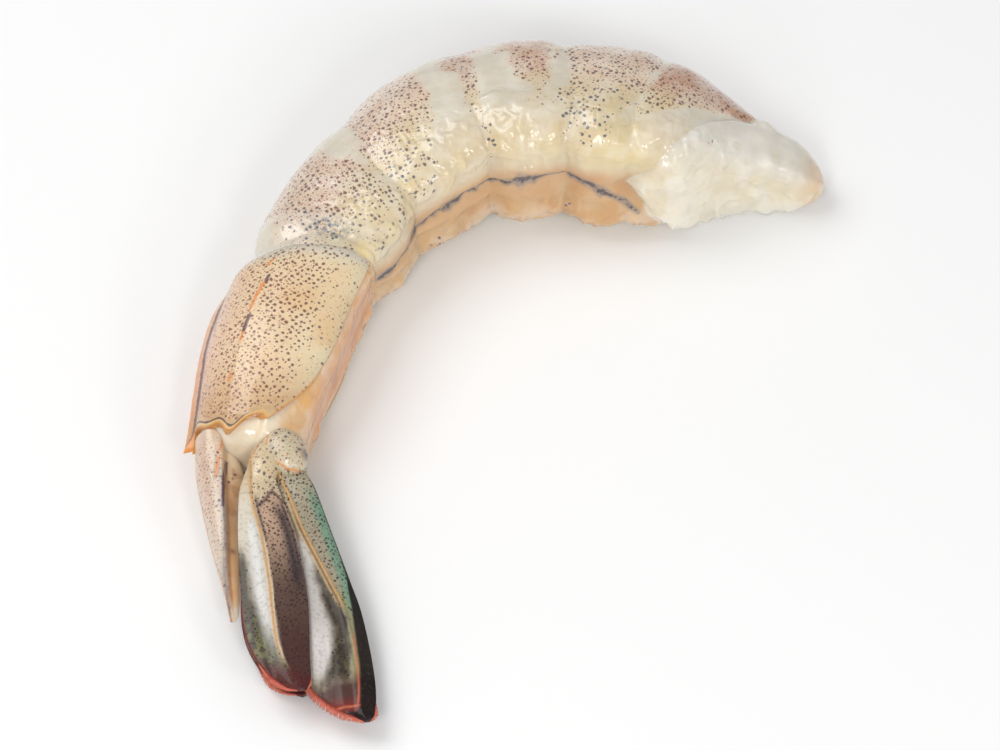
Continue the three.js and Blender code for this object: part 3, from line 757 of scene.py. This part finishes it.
def flesh_tint(s, degrees, points, muscle, found):
    around = from_back(degrees)
    soft = noise(points, 5, 30)
    skin = found["skin"]
    low = rise(around, 80, 120)
    paint = Paint(points, CREAM)
    paint(YELLOW, low * (0.4 + 0.2 * soft) * fall(around, 160, 175))
    paint(BARE, 0.8 * (1 - skin) * fall(around, 110, 150))
    paint(PINK, 0.6 * skin * (1 - low))
    paint(RUSTY, 0.75 * found["rust"] * skin * fall(around, 75, 122))
    paint(YELLOW, 0.6 * skin * low)
    for at, angle, along, reach, _ in LOBES:
        paint(LOBE, 0.5 * bump(s, at, along * 1.1) * bump(around, angle, reach * 1.1))
    paint((222, 203, 148), 0.85 * bump(s, 20.2, 3) * bump(around, 154, 12))
    paint((240, 220, 152), 0.85 * bump(s, 62.4, 1.3) * bump(around, 140, 8))
    paint(MUSCLE, 0.9 * muscle)
    paint(LOBE, 0.45 * muscle * rise(around, 130, 165))
    paint((236, 232, 222), 0.5 * muscle * rise(noise(points, 1.8, 33), 0.1, 0.7))
    # The amber belly strip below the nerve line: its own orange-tan, with painted shade for the shadow under
    # the body.
    belly = rise(degrees, 163, 174) * fall(degrees, 210, 240) * (1 - muscle)
    paint(SHADED_BELLY_AMBER, belly * (0.85 + 0.15 * soft))
    paint(DEEP_AMBER, 0.4 * belly * rise(noise(points, 3.6, 31), -0.3, 0.9))
    paint(CUT_TAN, fall(s, 0.5, 3.2) * 0.6)
    sixth = rise(s, SHELL_START - 2, SHELL_START + 4) * rise(around, 118, 140)
    sixth = sixth * fall(s, BODY_LENGTH - 3, BODY_LENGTH)
    paint((231, 178, 112), 0.95 * sixth)
    paint((212, 140, 74), sixth * rise(around, 142, 164) * 0.8)
    streak = rise(flat_noise(0.25 * s, around / 8, 0.5, 32), 0.1, 0.7)
    paint((176, 104, 60), sixth * rise(around, 160, 176) * (0.15 + 0.45 * streak))
    end = rise(s, BODY_LENGTH - 3, BODY_LENGTH + 0.5)
    paint((218, 166, 110), 0.85 * end * rise(around, 112, 136))
    paint(JOINT_CREAM, 0.9 * end * fall(around, 112, 136))
    return paint.tint


FLESH_STEP, FLESH_HIDDEN_STEP, FLESH_SIDES = 0.2, 0.5, 236


def flesh_piece():
    front = FRONT_CAP * (1 - np.cos(np.linspace(0.05, 1, 24) * np.pi / 2))
    rows = np.concatenate([
        front,
        np.arange(front[-1] + FLESH_STEP, SHELL_START + 5, FLESH_STEP),
        np.arange(SHELL_START + 5, BODY_LENGTH, FLESH_HIDDEN_STEP),
        BODY_LENGTH + REAR_CAP * np.sin(np.linspace(0, 0.97, 22) * np.pi / 2),
    ])
    s, degrees = grid(rows, np.linspace(0, 360, FLESH_SIDES, endpoint=False))
    plain = surface_radius(s, degrees)
    rough = section_point(s, degrees, plain)
    fine, muscle, loose = fine_relief(s, degrees, rough)
    hidden = rise(s - shell_front(degrees), -0.5, 1.5)
    reach = shell_reach(s)
    fine = fine * (1 - hidden * fall(from_back(degrees), reach, reach + 6))
    front_cap = np.sqrt(1 - np.clip(1 - s / FRONT_CAP, 0, 1) ** 2)
    rear_cap = np.sqrt(1 - np.clip((s - BODY_LENGTH) / REAR_CAP, 0, 1) ** 2)
    rings = section_point(s, degrees, (plain + fine - under_shell(s, degrees)) * front_cap * rear_cap)
    rings[..., 2] = np.maximum(rings[..., 2], 0)

    found = pigment(s, degrees, rough)
    across, stretch = skin_place(s, degrees)
    width = np.interp(s, *zip(*NERVE_WIDTH)) * (1 + 0.5 * flat_noise(s, 0 * s, 1.1, 35))
    sway = 2.2 * flat_noise(s, 0 * s, 1.9, 36) + 1.2 * flat_noise(s, 0 * s, 0.8, 37)
    nerve = 1 - np.abs(degrees - curve(NERVE, s) - sway) * plain * np.pi / 180 / np.maximum(width, 0.01)
    nerve = np.where(width > 0.03, np.maximum(nerve, -1), -1)
    haze = 1.2 * bump(s, 61, 1.2) * bump(degrees, 100, 22) + 0.8 * bump(s, 33.6, 1.2) * bump(degrees, 181, 4)
    mark = bump(s, 11.9, 0.5) * bump(degrees, 127, 5)
    around = from_back(degrees)
    tube_piece(
        "flesh", "meat", rings, flesh_material(), "meat", flesh_tint(s, degrees, rough, muscle, found),
        along=s, across=across, stretch=stretch, nerve=nerve, haze=haze, loose=loose,
        stipple=found["skin"] * 0.9 * fall(around, 90, 125), small_spots=found["small"],
        large_spots=np.maximum(found["large"] * 0.9, mark), blueness=found["blue"],
        milky=1 - 0.85 * rise(around, 150, 168) * (1 - muscle),
    )


# ---- the shell of the sixth segment

SHELL_AMBER, SHELL_PINK, SHELL_CREAM = (232, 202, 164), (230, 192, 166), (234, 212, 176)
# Orange flecks and the dark blotches between them, as (s, degrees / 10) routes.
FLECKS = (((66.8, 6.2), (67.6, 5.9)), ((69.8, 6.4), (73.2, 6.1)), ((76, 6), (76.8, 5.95)),
          ((80.6, 5.6), (81.4, 5.5)))
BLOTCHES = (((74, 6.2), (75.8, 6.05)), ((63.4, 6.6), (64.2, 7)), ((69, 6.6), (69.6, 6.6)))


def shell_piece():
    outer, inner, rows = 250, 60, 170
    across = np.concatenate([np.linspace(0, 1, outer), np.linspace(1, 0, inner + 2)[1:-1]])
    face = np.concatenate([np.ones(outer), np.zeros(inner)])
    u, v = grid(crowded(rows), across)
    face = np.broadcast_to(face, u.shape)
    w = 2 * v - 1
    w = np.sign(w) * np.abs(w) ** 1.15
    start = shell_front(w * shell_reach(SHELL_START))
    end = shell_end(w * shell_reach(BODY_LENGTH))
    s = lerp(start, end, u)
    degrees = w * shell_reach(s)
    around = from_back(degrees)
    plain = surface_radius(s, degrees)
    rough = section_point(s, degrees, plain)
    margin = (shell_reach(s) - around) * plain * np.pi / 180
    rear = end - s
    into = s - start
    keel = 0.75 * bump(degrees, 0, 5) * rise(u, 0, 0.25)
    side_ridge = 0.1 * bump(around, 62, 4) * rise(u, 0.1, 0.3)
    rim = 0.06 * bump(margin, 0.2, 0.2) + 0.04 * bump(rear, 0.15, 0.15)
    lumps = 0.06 * noise(rough, 3, 41) + 0.02 * noise(rough, 1, 42) + 0.12 * noise(rough, 4.2, 1)
    thick = shell_depth(into, shell_reach(s) - around) * (0.25 + 0.75 * rise(rear, 0, 1.5))
    radius = plain + np.where(face > 0.5, keel + side_ridge + rim + lumps, lumps - thick)
    rings = section_point(s, degrees, radius)
    rings[..., 2] = np.maximum(rings[..., 2], 0.03)

    paint = Paint(rings, SHELL_AMBER)
    paint(SHELL_PINK, 0.8 * fall(around, 25, 62))
    paint((214, 164, 146), 0.6 * fall(around, 14, 36) * rise(u, 0.1, 0.4))
    paint(SHELL_CREAM, 0.8 * rise(around, 95, 135))
    paint((194, 150, 102), 0.75 * rise(u, 0.62, 0.95))
    paint((222, 176, 120), 0.5 * rise(noise(rough, 3.5, 44), 0.1, 0.8))
    paint((230, 186, 124), 0.85 * fall(rear, 0.36, 0.5))
    paint((226, 208, 184), 0.85 * fall(into + 0.8 * noise(rough, 1.8, 45), 0.3, 2.4))
    arc = around * plain * np.pi / 180
    back_line = bump(arc, 0.85, 0.24) * rise(u, 0.06, 0.25)
    rear_line = bump(rear, 0.52, 0.12) * fall(around, 74, 96)
    line = np.maximum(back_line, 0.9 * rear_line)
    line = np.maximum(line, 0.8 * marks(BLOTCHES, s, around / 10, 0.22))
    rim_paint = np.maximum(fall(rear, 0.05, 0.14), fall(margin, 0.1, 0.24))
    rim_paint = np.maximum(rim_paint, bump(arc, 0, 0.3) * rise(u, 0.02, 0.2))
    plain_rear = rise(rear, 0.8, 1.2) * rise(arc, 0.8, 1.2)
    begin = rise(into, -0.2, 0.6)
    clump = 1 + 0.3 * noise(rough, 2.5, 46)
    ranks = lerp(0.45, 1, rise(around, 30, 62)) - 0.85 * rise(around, 108, 142)
    across_skin, stretch = skin_place(s, degrees)
    tube_piece(
        "last_shell", "tail_shell", rings, shell_material("thin_shell"), "shell", paint.tint, flip=True,
        along=s, across=across_skin, stretch=stretch,
        stipple=plain_rear * lerp(0.9, 0.35, rise(around, 50, 110)),
        small_spots=plain_rear * begin * lerp(1, 0.3, rise(around, 55, 120)),
        large_spots=plain_rear * begin * clump * ranks,
        blueness=rise(around, 110, 140), line=line, rim=rim_paint,
        fleck=marks(FLECKS, s, around / 10, 0.16),
    )


# ---- the fan


def fan_matrix():
    turn = float(heading(BODY_LENGTH)) + math.radians(FAN_TURN)
    at = section_point(BODY_LENGTH, 0, FAN_OFFSET)
    droop = Matrix.Rotation(math.radians(FAN_DROOP), 4, "Y")
    return Matrix.Translation(Vector(at)) @ Matrix.Rotation(turn, 4, "Z") @ droop


def from_fan(points, side=1, shift=0):
    """Points of the upper side's form placed on the body, on the side 1 or -1 and moved along the fan."""
    matrix = np.array(fan_matrix())
    points = points * (1, 1, side) + (shift, 0, 0)
    return points @ matrix[:3, :3].T + matrix[:3, 3]


# Where the telson's firm back side ends and the thin web towards the belly begins.
WEB_EDGE = ((0, -1.4), (4.8, -1.7), (10.6, -2), (16.3, -2.45), (21.1, -2.5))
TELSON_GROOVE = ((1.4, -1.5), (5.6, -2.6))


def telson_piece(material):
    rows, sides = 200, 150
    t, angle = grid(np.linspace(0, 1, rows), circle(sides))
    x = lerp(TELSON["back"][0][0], TELSON["back"][-1][0], t)
    back, belly = curve(TELSON["back"], x), curve(TELSON["belly"], x)
    y = lerp(back, belly, (1 - np.cos(angle)) / 2)
    from_web = curve(WEB_EDGE, x) - y
    groove = away_from(TELSON_GROOVE, x, y)
    taper = 1 - 0.965 * t**1.8
    thin = 1 - TELSON["web"] * rise(-from_web, -0.15, 0.35)
    lumps = 1 + 0.04 * flat_noise(0.5 * x, y, 1.4, 51) - 0.07 * bump(groove, 0, 0.25)
    lumps = lumps + 0.05 * bump(from_web, 0.25, 0.2)
    rings = np.stack([x, y, TELSON["half_width"] * taper * thin * lumps * np.sin(angle)], -1)

    firm = rise(from_web, -0.1, 0.15)
    paint = Paint(rings, (208, 190, 168))
    paint((204, 197, 186), rise(x, 3, 15) * 0.8)
    paint((206, 172, 156), 0.6 * bump(y - back, 0.7, 0.5) * fall(x, 4, 16))
    paint((96, 96, 108), 0.8 * bump(from_web, 0.22, 0.26) * rise(x, 3.5, 8))
    paint((92, 90, 98), 0.75 * rise(x, 14, 20) * firm)
    web = Paint(rings, (226, 180, 132))
    web((228, 206, 174), fall(x, 2.5, 7))
    web((190, 130, 84), 0.6 * bump(from_web, -0.15, 0.25))
    web((176, 116, 82), 0.5 * rise(flat_noise(x, y, 0.7, 52), 0.1, 0.7) * window(x, 3, 10, 1))
    web((150, 96, 76), 0.8 * bump(np.hypot(x - 13.4, y + 1.7), 0, 0.35))
    web((228, 214, 198), 0.8 * rise(x, 18.8, 20))
    paint.tint = paint.tint * firm[..., None] + web.tint * (1 - firm[..., None])
    paint((216, 150, 92), 0.85 * fall(y - back, 0.02, 0.12))
    paint((150, 62, 40), rise(x, 20.7, 21.1) * firm)
    spots = firm * rise(x, 0.6, 2)
    beside = bump(groove, 0.3, 0.25)
    tube_piece(
        "telson_spike", "telson", from_fan(rings), material, "shell", paint.tint,
        along=x, across=y, stretch=1, stipple=0.8 * spots, small_spots=0.75 * spots,
        large_spots=spots * (0.12 + 0.6 * beside) + 0.35 * (1 - firm) * window(x, 3.5, 6, 0.5),
        blueness=0.5 + 0.4 * beside,
        line=0.75 * bump(away_from(((3.4, -1.3), (6, -1.8), (9, -2.2)), x, y), 0, 0.16), rim=0,
        fleck=bump(groove, 0, 0.1),
    )


# Lines on a knuckle, as (x, y) routes: the dome's crease, the hinge of the outer blade and the lobe's rim.
CREASE = ((1, 4.1), (1.9, 3.1), (3.1, 2.7))
HINGE = ((5.3, 3.5), (6.2, 4.7), (6.3, 5.9))
LOBE_RIM = ((3.1, 1.9), (4.6, 1.05), (6.6, 0.65))


def lobe_reach(lobe, direction):
    """How far a ray from the knuckle's core runs before it leaves a lobe."""
    turn = -math.radians(lobe["turn"])
    spin = np.array([[math.cos(turn), -math.sin(turn), 0], [math.sin(turn), math.cos(turn), 0], [0, 0, 1]])
    start = spin @ (np.array(PROTOPOD_CORE) - lobe["centre"]) / lobe["half"]
    way = direction @ spin.T / lobe["half"]
    along = way @ start
    length = (way**2).sum(-1)
    return (np.sqrt(along**2 - length * (start @ start - 1)) - along) / length


def protopod_piece(flank, side, shift, material):
    rows, sides = 110, 150
    theta, phi = grid(np.linspace(0.02, np.pi - 0.02, rows), circle(sides))
    way = np.stack([np.cos(theta), np.sin(theta) * np.cos(phi), np.sin(theta) * np.sin(phi)], -1)
    dome, lobe = (lobe_reach(row, way) for row in PROTOPOD_LOBES)
    reach = np.maximum(dome, lobe) * (1 + 0.02 * noise(way * 3 + 7, 1, 61))
    points = way * reach[..., None] + PROTOPOD_CORE
    x, y = points[..., 0], points[..., 1]
    crease, hinge, rim = (away_from(route, x, y) for route in (CREASE, HINGE, LOBE_RIM))
    top = points[..., 2] > PROTOPOD_CORE[2]
    points = points - way * (0.12 * bump(crease, 0, 0.2) * top)[..., None]
    on_lobe = rise(lobe - dome, -0.15, 0.15)
    paint = Paint(points, (196, 186, 158))
    paint((214, 196, 158), 0.8 * on_lobe)
    paint((222, 206, 174), 0.7 * bump(crease, 0, 0.5))
    paint((58, 62, 74), 0.9 * bump(np.hypot(x - 4.7, y - 6.6), 0, 0.55) * top)
    lines = np.maximum(np.maximum(bump(crease, 0, 0.09), bump(hinge, 0, 0.08)), bump(rim, 0, 0.1)) * top
    tube_piece(
        "knuckle_" + flank, "protopod_" + flank, from_fan(points, side, shift), material, "shell",
        paint.tint, flip=side < 0, along=x, across=y, stretch=1, stipple=0.8,
        small_spots=0.85 - 0.2 * on_lobe, large_spots=0.3 + 0.4 * bump(rim, 0.45, 0.3), blueness=0.55,
        line=0, rim=0.9 * lines, fleck=0,
    )


def blade_height(blade, x):
    return lerp(*blade["heights"], rise(x, 3, 26))


def blade_grid(blade):
    """Rings across a blade: x along it, share across it from the back edge, and each point's face."""
    rows, sides = 260, 150
    x, angle = grid(lerp(blade["back"][0][0], blade["back"][-1][0], crowded(rows)), circle(sides))
    return x, (1 - np.cos(angle)) / 2, np.sin(angle)


def blade_points(blade, x, v, face):
    back, belly = curve(blade["back"], x), curve(blade["belly"], x)
    y = lerp(back, belly, v)
    rib = y - curve(blade["rib"], x)
    tip = blade["back"][-1][0] - x
    thick = lerp(RIM_THICKNESS, BLADE_THICKNESS, np.sqrt(np.clip(4 * v * (1 - v), 0, 1)))
    fade = rise(tip, 3, 12)
    ribs = 0.2 * bump(rib, 0, 0.14) + 0.12 * bump(rib, -0.42, 0.12) * rise(x, 9, 12)
    crown = 0.2 * np.sin(np.pi * v)
    valley = 0.14 * bump(rib, -1.2, 0.5) * rise(x, 12, 16)
    wave = 0.07 * flat_noise(0.22 * x, y, 1.1, 71)
    up = np.sign(face) * np.abs(face) ** 0.5
    upper = (ribs * fade - valley + wave) * np.clip(face * 4, 0, 1)
    return np.stack([x, y, blade_height(blade, x) + up * thick / 2 + crown + upper], -1), rib, back, belly


def blade_piece(name, node, blade, side, shift, material, colours):
    x, v, face = blade_grid(blade)
    points, rib, back, belly = blade_points(blade, x, v, face)
    y = points[..., 1]
    tint, dots = colours(x, y, rib, y - back, belly - y)
    streak = flat_noise(0.12 * x, y, 0.35, 72) * 0.5 + 0.5
    tube_piece(name, node, from_fan(points, side, shift), material, "fan", tint, flip=side > 0,
               along=x, across=y, stretch=1, dots=dots, streak=streak)


def endopod_colours(x, y, rib, to_back, to_belly):
    drift = 0.12 * flat_noise(0.4 * x, y, 0.7, 74)
    grain = flat_noise(0.6 * x, y, 0.35, 77)
    paint = Paint(x, (204, 184, 152))
    paint((206, 196, 178), fall(rib, -0.3, 0) * rise(x, 7, 10))
    # The pale field between the back edge and the rib: partly pale membrane, partly a painted reflection of
    # the lights on the glossy blade.
    pale_reflection_start = straight(((11, 0.3), (12.1, 0.1), (16.8, -0.4), (22.5, -0.2), (25, 0.3), (27, 1.2)), x)
    pale_reflection = window(y, pale_reflection_start + drift, curve(ENDOPOD["rib"], x) - 0.1, 0.16) * window(x, 11.5, 26.8, 0.8)
    paint((200, 196, 188), 0.95 * pale_reflection)
    # A brighter painted highlight within the pale field.
    paint((226, 224, 220), 0.6 * pale_reflection * bump(rib, -0.9, 0.5))
    margin = straight(((13, 0.4), (17, 0.9), (20, 1.4), (22, 1.9), (25, 2.7), (28, 3)), x) + 0.08 * grain
    green = fall(to_back + drift, margin * 0.5, margin * 1.3) * rise(x, 13, 16)
    paint((66, 60, 46), 0.94 * green)
    paint((146, 148, 98), 0.45 * green * rise(x, 20, 24) * rise(grain, -0.2, 0.5))
    stripe = rise(rib + drift, 0.22, 0.42) * rise(x + 1.3 * bump(y, 2.8, 0.8), 9.4, 9.9)
    deep = rise(x, 11, 20)
    paint((186, 154, 130), 0.95 * stripe)
    paint((78, 57, 49), 0.95 * stripe * deep)
    paint((50, 44, 50), 0.9 * stripe * bump(to_belly, 0.8, 0.6) * window(x, 10.3, 19, 1.2))
    paint((72, 38, 34), 0.75 * stripe * rise(x, 20, 26))
    rib_line = bump(rib, 0.42, 0.14) * window(x, 9, 14, 0.6)
    edge_line = np.maximum(bump(to_belly, 0.3, 0.16) * window(x, 9.6, 18, 0.7), rib_line)
    top_line = bump(x + 1.3 * bump(y, 2.8, 0.8), 10, 0.25) * rise(rib, 0.3, 0.5)
    paint((56, 46, 58), 0.8 * np.clip(np.maximum(edge_line, top_line) + 0.25 * grain * edge_line, 0, 1))
    paint((206, 148, 82), 0.9 * bump(rib, 0.02, 0.12) * fall(x, 24, 28))
    paint((226, 206, 176), 0.7 * bump(rib, 0.26, 0.08) * window(x, 14, 27, 1))
    paint((84, 32, 30), 0.92 * rise(x + 0.5 * grain - 0.5 * rib, 27, 28.8))
    rim = fall(to_back, 0.12, 0.3) * rise(x, 17, 22)
    paint((112, 44, 34), 0.9 * rim)
    paint((84, 30, 30), 0.85 * rise(x, 29.8, 30.4))
    row = bump(rib, 0.42, 0.2) * window(x, 7.5, 15, 0.8)
    dots = 0.95 * stripe + 0.65 * fall(x, 9, 11) * rise(rib, -0.2, 0.2) + 0.9 * row + 0.7 * green
    return paint.tint, np.clip(dots, 0, 1) * (1 - pale_reflection)


# Where the outer blade's olive field and its pale field end, in y along x, and how wide its black margin is.
# The pale field is partly pale membrane and partly a painted reflection.
OLIVE_END = ((16, 6.2), (17.8, 6.8), (20.3, 7.8), (22.5, 8.7), (26, 8.7), (28.3, 8.4), (30, 8.2))
PALE_REFLECTION_END = ((13.5, 5.9), (18.1, 6.5), (21, 6.9), (23.5, 7.5), (25.8, 7.2), (28, 6.5), (29.6, 5.6))
BLACK_MARGIN = ((12, 0), (18, 0.25), (20.3, 0.7), (23.8, 1.2), (28.3, 1.45), (32.5, 1.65), (34.2, 2.2))


def exopod_colours(x, y, rib, to_back, to_belly):
    drift = 0.14 * flat_noise(0.4 * x, y, 0.8, 75)
    grain = flat_noise(0.6 * x, y, 0.35, 78)
    paint = Paint(x, (158, 148, 126))
    paint((176, 166, 142), 0.8 * fall(x, 7.5, 11))
    mottle = 0.12 * flat_noise(0.5 * x, y, 0.5, 79)
    olive_end, pale_reflection_end = straight(OLIVE_END, x), straight(PALE_REFLECTION_END, x)
    olive = rise(y + mottle, pale_reflection_end - 0.8, pale_reflection_end + 0.3)
    olive = olive * fall(y + mottle, olive_end - 0.3, olive_end + 0.4) * window(x, 16.5, 29.5, 1)
    # The pale field: partly pale membrane, partly a painted reflection of the lights on the glossy blade.
    pale_reflection = fall(y + mottle, pale_reflection_end - 0.7, pale_reflection_end + 0.4) * window(x, 13.5, 29, 0.9)
    pale_reflection = pale_reflection * fall(rib, -0.45, -0.25)
    paint((198, 192, 186), 0.95 * pale_reflection)
    # A darker, greyer part of the painted reflection.
    paint((150, 143, 136), 0.15 * pale_reflection * rise(y + mottle, 4.4, 6) * fall(x, 22, 25))
    # The brightest part of the painted reflection, a painted highlight.
    paint((218, 209, 206), 0.8 * pale_reflection * bump(x, 25.5, 2.4) * bump(y, 5.9, 1.1))
    paint((52, 43, 34), 0.95 * olive)
    paint((118, 108, 78), 0.45 * olive * rise(grain, 0.1, 0.6))
    lime = rise(y + mottle, olive_end, olive_end + 0.3) * window(x, 19.5, 30, 1)
    paint((140, 138, 98), 0.75 * lime)
    right = rise(rib, 0.15, 0.4)
    teal = right * fall(to_belly + 0.5 * drift, 0.75, 1.45) * window(x, 8.5, 22.5, 1.5)
    paint((112, 148, 126), 0.85 * teal)
    paint((86, 128, 104), 0.6 * teal * fall(to_belly, 0.3, 0.7) * rise(grain, -0.5, 0.4))
    paint((228, 168, 92), 0.95 * bump(rib, 0, 0.12) * fall(x, 20, 22))
    paint((204, 172, 128), 0.8 * bump(rib, -0.42, 0.13) * window(x, 8, 21, 1))
    paint((74, 58, 50), 0.8 * bump(rib, -0.2, 0.1) * window(x, 11, 21, 1))
    paint((72, 38, 36), 0.94 * rise(x + 0.5 * grain + 0.2 * (y - 7), 28.6, 30.4))
    paint((122, 44, 38), 0.8 * rise(x, 31, 32.4))
    margin = straight(BLACK_MARGIN, x)
    black = fall(to_belly + 0.3 * drift, margin * 0.85, margin + 0.08) * rise(x, 14, 19)
    black = np.maximum(black, rise(x - 0.05 * (y - 8), 32.8, 33.2))
    paint((22, 13, 14), 0.97 * black)
    paint((72, 34, 30), 0.8 * fall(to_belly, 0.06, 0.16) * window(x, 6.5, 20, 1))
    inner = bump(to_belly, margin + 0.12, 0.1) * window(x, 24.5, 32.5, 0.8)
    tip_line = bump(x, 32.5, 0.12) * window(y, 6.6, 8.9, 0.2)
    paint((206, 112, 78), 0.85 * np.maximum(inner, tip_line))
    dots = 0.85 * right * (1 - 0.7 * rise(x, 20, 26)) + 0.7 * fall(x, 8, 12) + 0.6 * olive
    return paint.tint, np.clip(dots, 0, 1) * (1 - pale_reflection) * (1 - 0.9 * black)


HAIR_SPACING, HAIR_WIDTH, HAIR_INSIDE = 0.05, 0.055, 0.12
# A hair's corners are three at its root and two at its tip.
HAIR_FACES = ((0, 2, 1), (0, 1, 4, 3), (1, 2, 4), (2, 0, 3), (2, 3, 4))


def unit(ways):
    return ways / np.linalg.norm(ways, axis=1)[:, None]


def fringe_piece(name, blade, side, shift, material, spans):
    """Fine hairs along a blade's tip and edges. spans are (edge, first x, last x, length of the hairs)."""
    draw = np.random.default_rng(int(100 * blade["heights"][0]) + side)
    hairs = []
    for edge, first, last, length in spans:
        x = np.linspace(first, last, 400)
        path = np.stack([x, curve(blade[edge], x)], -1)
        gone = np.concatenate([[0], np.cumsum(np.linalg.norm(np.diff(path, axis=0), axis=1))])
        at = np.arange(0, gone[-1], HAIR_SPACING)
        x, y = (np.interp(at, gone, line) for line in path.T)
        way = unit(np.stack([np.gradient(x), np.gradient(y), 0 * x], -1))
        out = np.stack([way[:, 1], -way[:, 0], 0 * x], -1) * (1 if edge == "back" else -1)
        lean = out + way * 0.5
        lean[:, :2] += draw.normal(0, 0.07, (len(at), 2))
        lean = unit(lean)
        grow = np.minimum(1, np.minimum(at, 0.6 * (gone[-1] - at) + 0.5) / 2)
        share, lean[:, 2] = draw.uniform((0.85, -0.08), (1.08, 0.04), (len(at), 2)).T
        root = np.stack([x, y, blade_height(blade, x)], -1) - out * HAIR_INSIDE
        end = root + lean * (length * grow * share + HAIR_INSIDE)[:, None]
        wide = way * HAIR_WIDTH
        top = root + (0, 0, 2 * HAIR_WIDTH)
        hairs.append(np.stack([root - wide, root + wide, top, end - wide * 0.5, end + wide * 0.5], 1))
    points = np.concatenate(hairs).reshape(-1, 3)
    bases = range(0, len(points), 5)
    faces = [[base + corner for corner in face[::side]] for base in bases for face in HAIR_FACES]
    tint = np.tile([linear(HAIR_ROOT)] * 3 + [linear(HAIR_TIP)] * 2, (len(points) // 5, 1))
    none = np.zeros(len(points))
    mesh_piece(name, from_fan(points, side, shift), faces, material, "fan", tint, along=none, across=none)


# ---- putting it together

flesh_piece()
shell_piece()
shell_finish = shell_material("fan_shell")
blade_finish = blade_material()
hair = fringe_material()
telson_piece(shell_finish)

# Each blade: its name, its solid's name, its form, its colours, and the spans of its hairs.
BLADES = (
    ("inner", "endopod_", ENDOPOD, endopod_colours, (("back", 26.8, 30.4, 0.6), ("belly", 28.8, 30.4, 0.5))),
    ("outer", "exopod_", EXOPOD, exopod_colours, (("back", 27, 34.1, 0.85), ("belly", 32.2, 34.1, 0.75))),
)
for flank, side, shift in (("upper", 1, 0), ("lower", -1, LOWER_SHIFT)):
    protopod_piece(flank, side, shift, shell_finish)
    for name, node, blade, colours, _ in BLADES:
        blade_piece(name + "_blade_" + flank, node + flank, blade, side, shift, blade_finish, colours)
    for name, _, blade, _, spans in BLADES:
        fringe_piece(name + "_fringe_" + flank, blade, side, shift, hair, spans)

# ---- floor, light and camera


def facing(way):
    """The turn of a lamp or camera that looks along way."""
    return way.to_track_quat("-Z", "Y").to_euler()


def area_light(name, at, size, power):
    """A square lamp, in metres and watts, that looks at the origin."""
    light = bpy.data.lights.new(name, "AREA")
    light.size, light.energy = size, power
    lamp = add_object(name, light)
    lamp.location = at
    lamp.rotation_euler = facing(-Vector(at))


FLOOR_SIZE, FLOOR_GAP = 6, 0.00005
FLOOR_COLOUR, SKY_COLOUR = (0.93, 0.93, 0.925, 1), (0.99, 0.99, 1, 1)


def stage_floor():
    bpy.ops.mesh.primitive_plane_add(size=FLOOR_SIZE, location=(0, 0, -FLOOR_GAP))
    floor = bpy.context.object
    floor.name = "floor"
    material = bpy.data.materials.new("pale_floor")
    material.use_nodes = True
    shader = material.node_tree.nodes["Principled BSDF"]
    shader.inputs["Base Color"].default_value = FLOOR_COLOUR
    shader.inputs["Roughness"].default_value = 0.85
    floor.data.materials.append(material)


def sky(strength):
    world = bpy.data.worlds.new("studio")
    world.use_nodes = True
    background = world.node_tree.nodes["Background"]
    background.inputs["Color"].default_value = SKY_COLOUR
    background.inputs["Strength"].default_value = strength
    bpy.context.scene.world = world


VIEW_FROM = Vector((0.02713, -0.31003, 0.40977))
VIEW_TO = Vector((0, 0.001, 0.004))
LENS, SENSOR = 180, 36

camera_data = bpy.data.cameras.new("camera")
camera_data.lens = LENS
camera_data.sensor_width = SENSOR
camera = add_object("camera", camera_data)
camera.location = VIEW_FROM
camera.rotation_euler = facing(VIEW_TO - VIEW_FROM)
bpy.context.scene.camera = camera
bpy.context.scene.view_settings.view_transform = "Standard"

stage_floor()
sky(0.45)
area_light("front", (-0.1, -0.42, 0.42), 0.15, 0.7)
area_light("right", (0.2, -0.45, 0.4), 0.1, 0.5)
area_light("top", (-0.3, 0.12, 0.46), 0.36, 1.3)
area_light("side", (0.42, -0.38, 0.32), 0.12, 0.5)
area_light("low", (0.02, -0.6, 0.19), 0.14, 0.45)
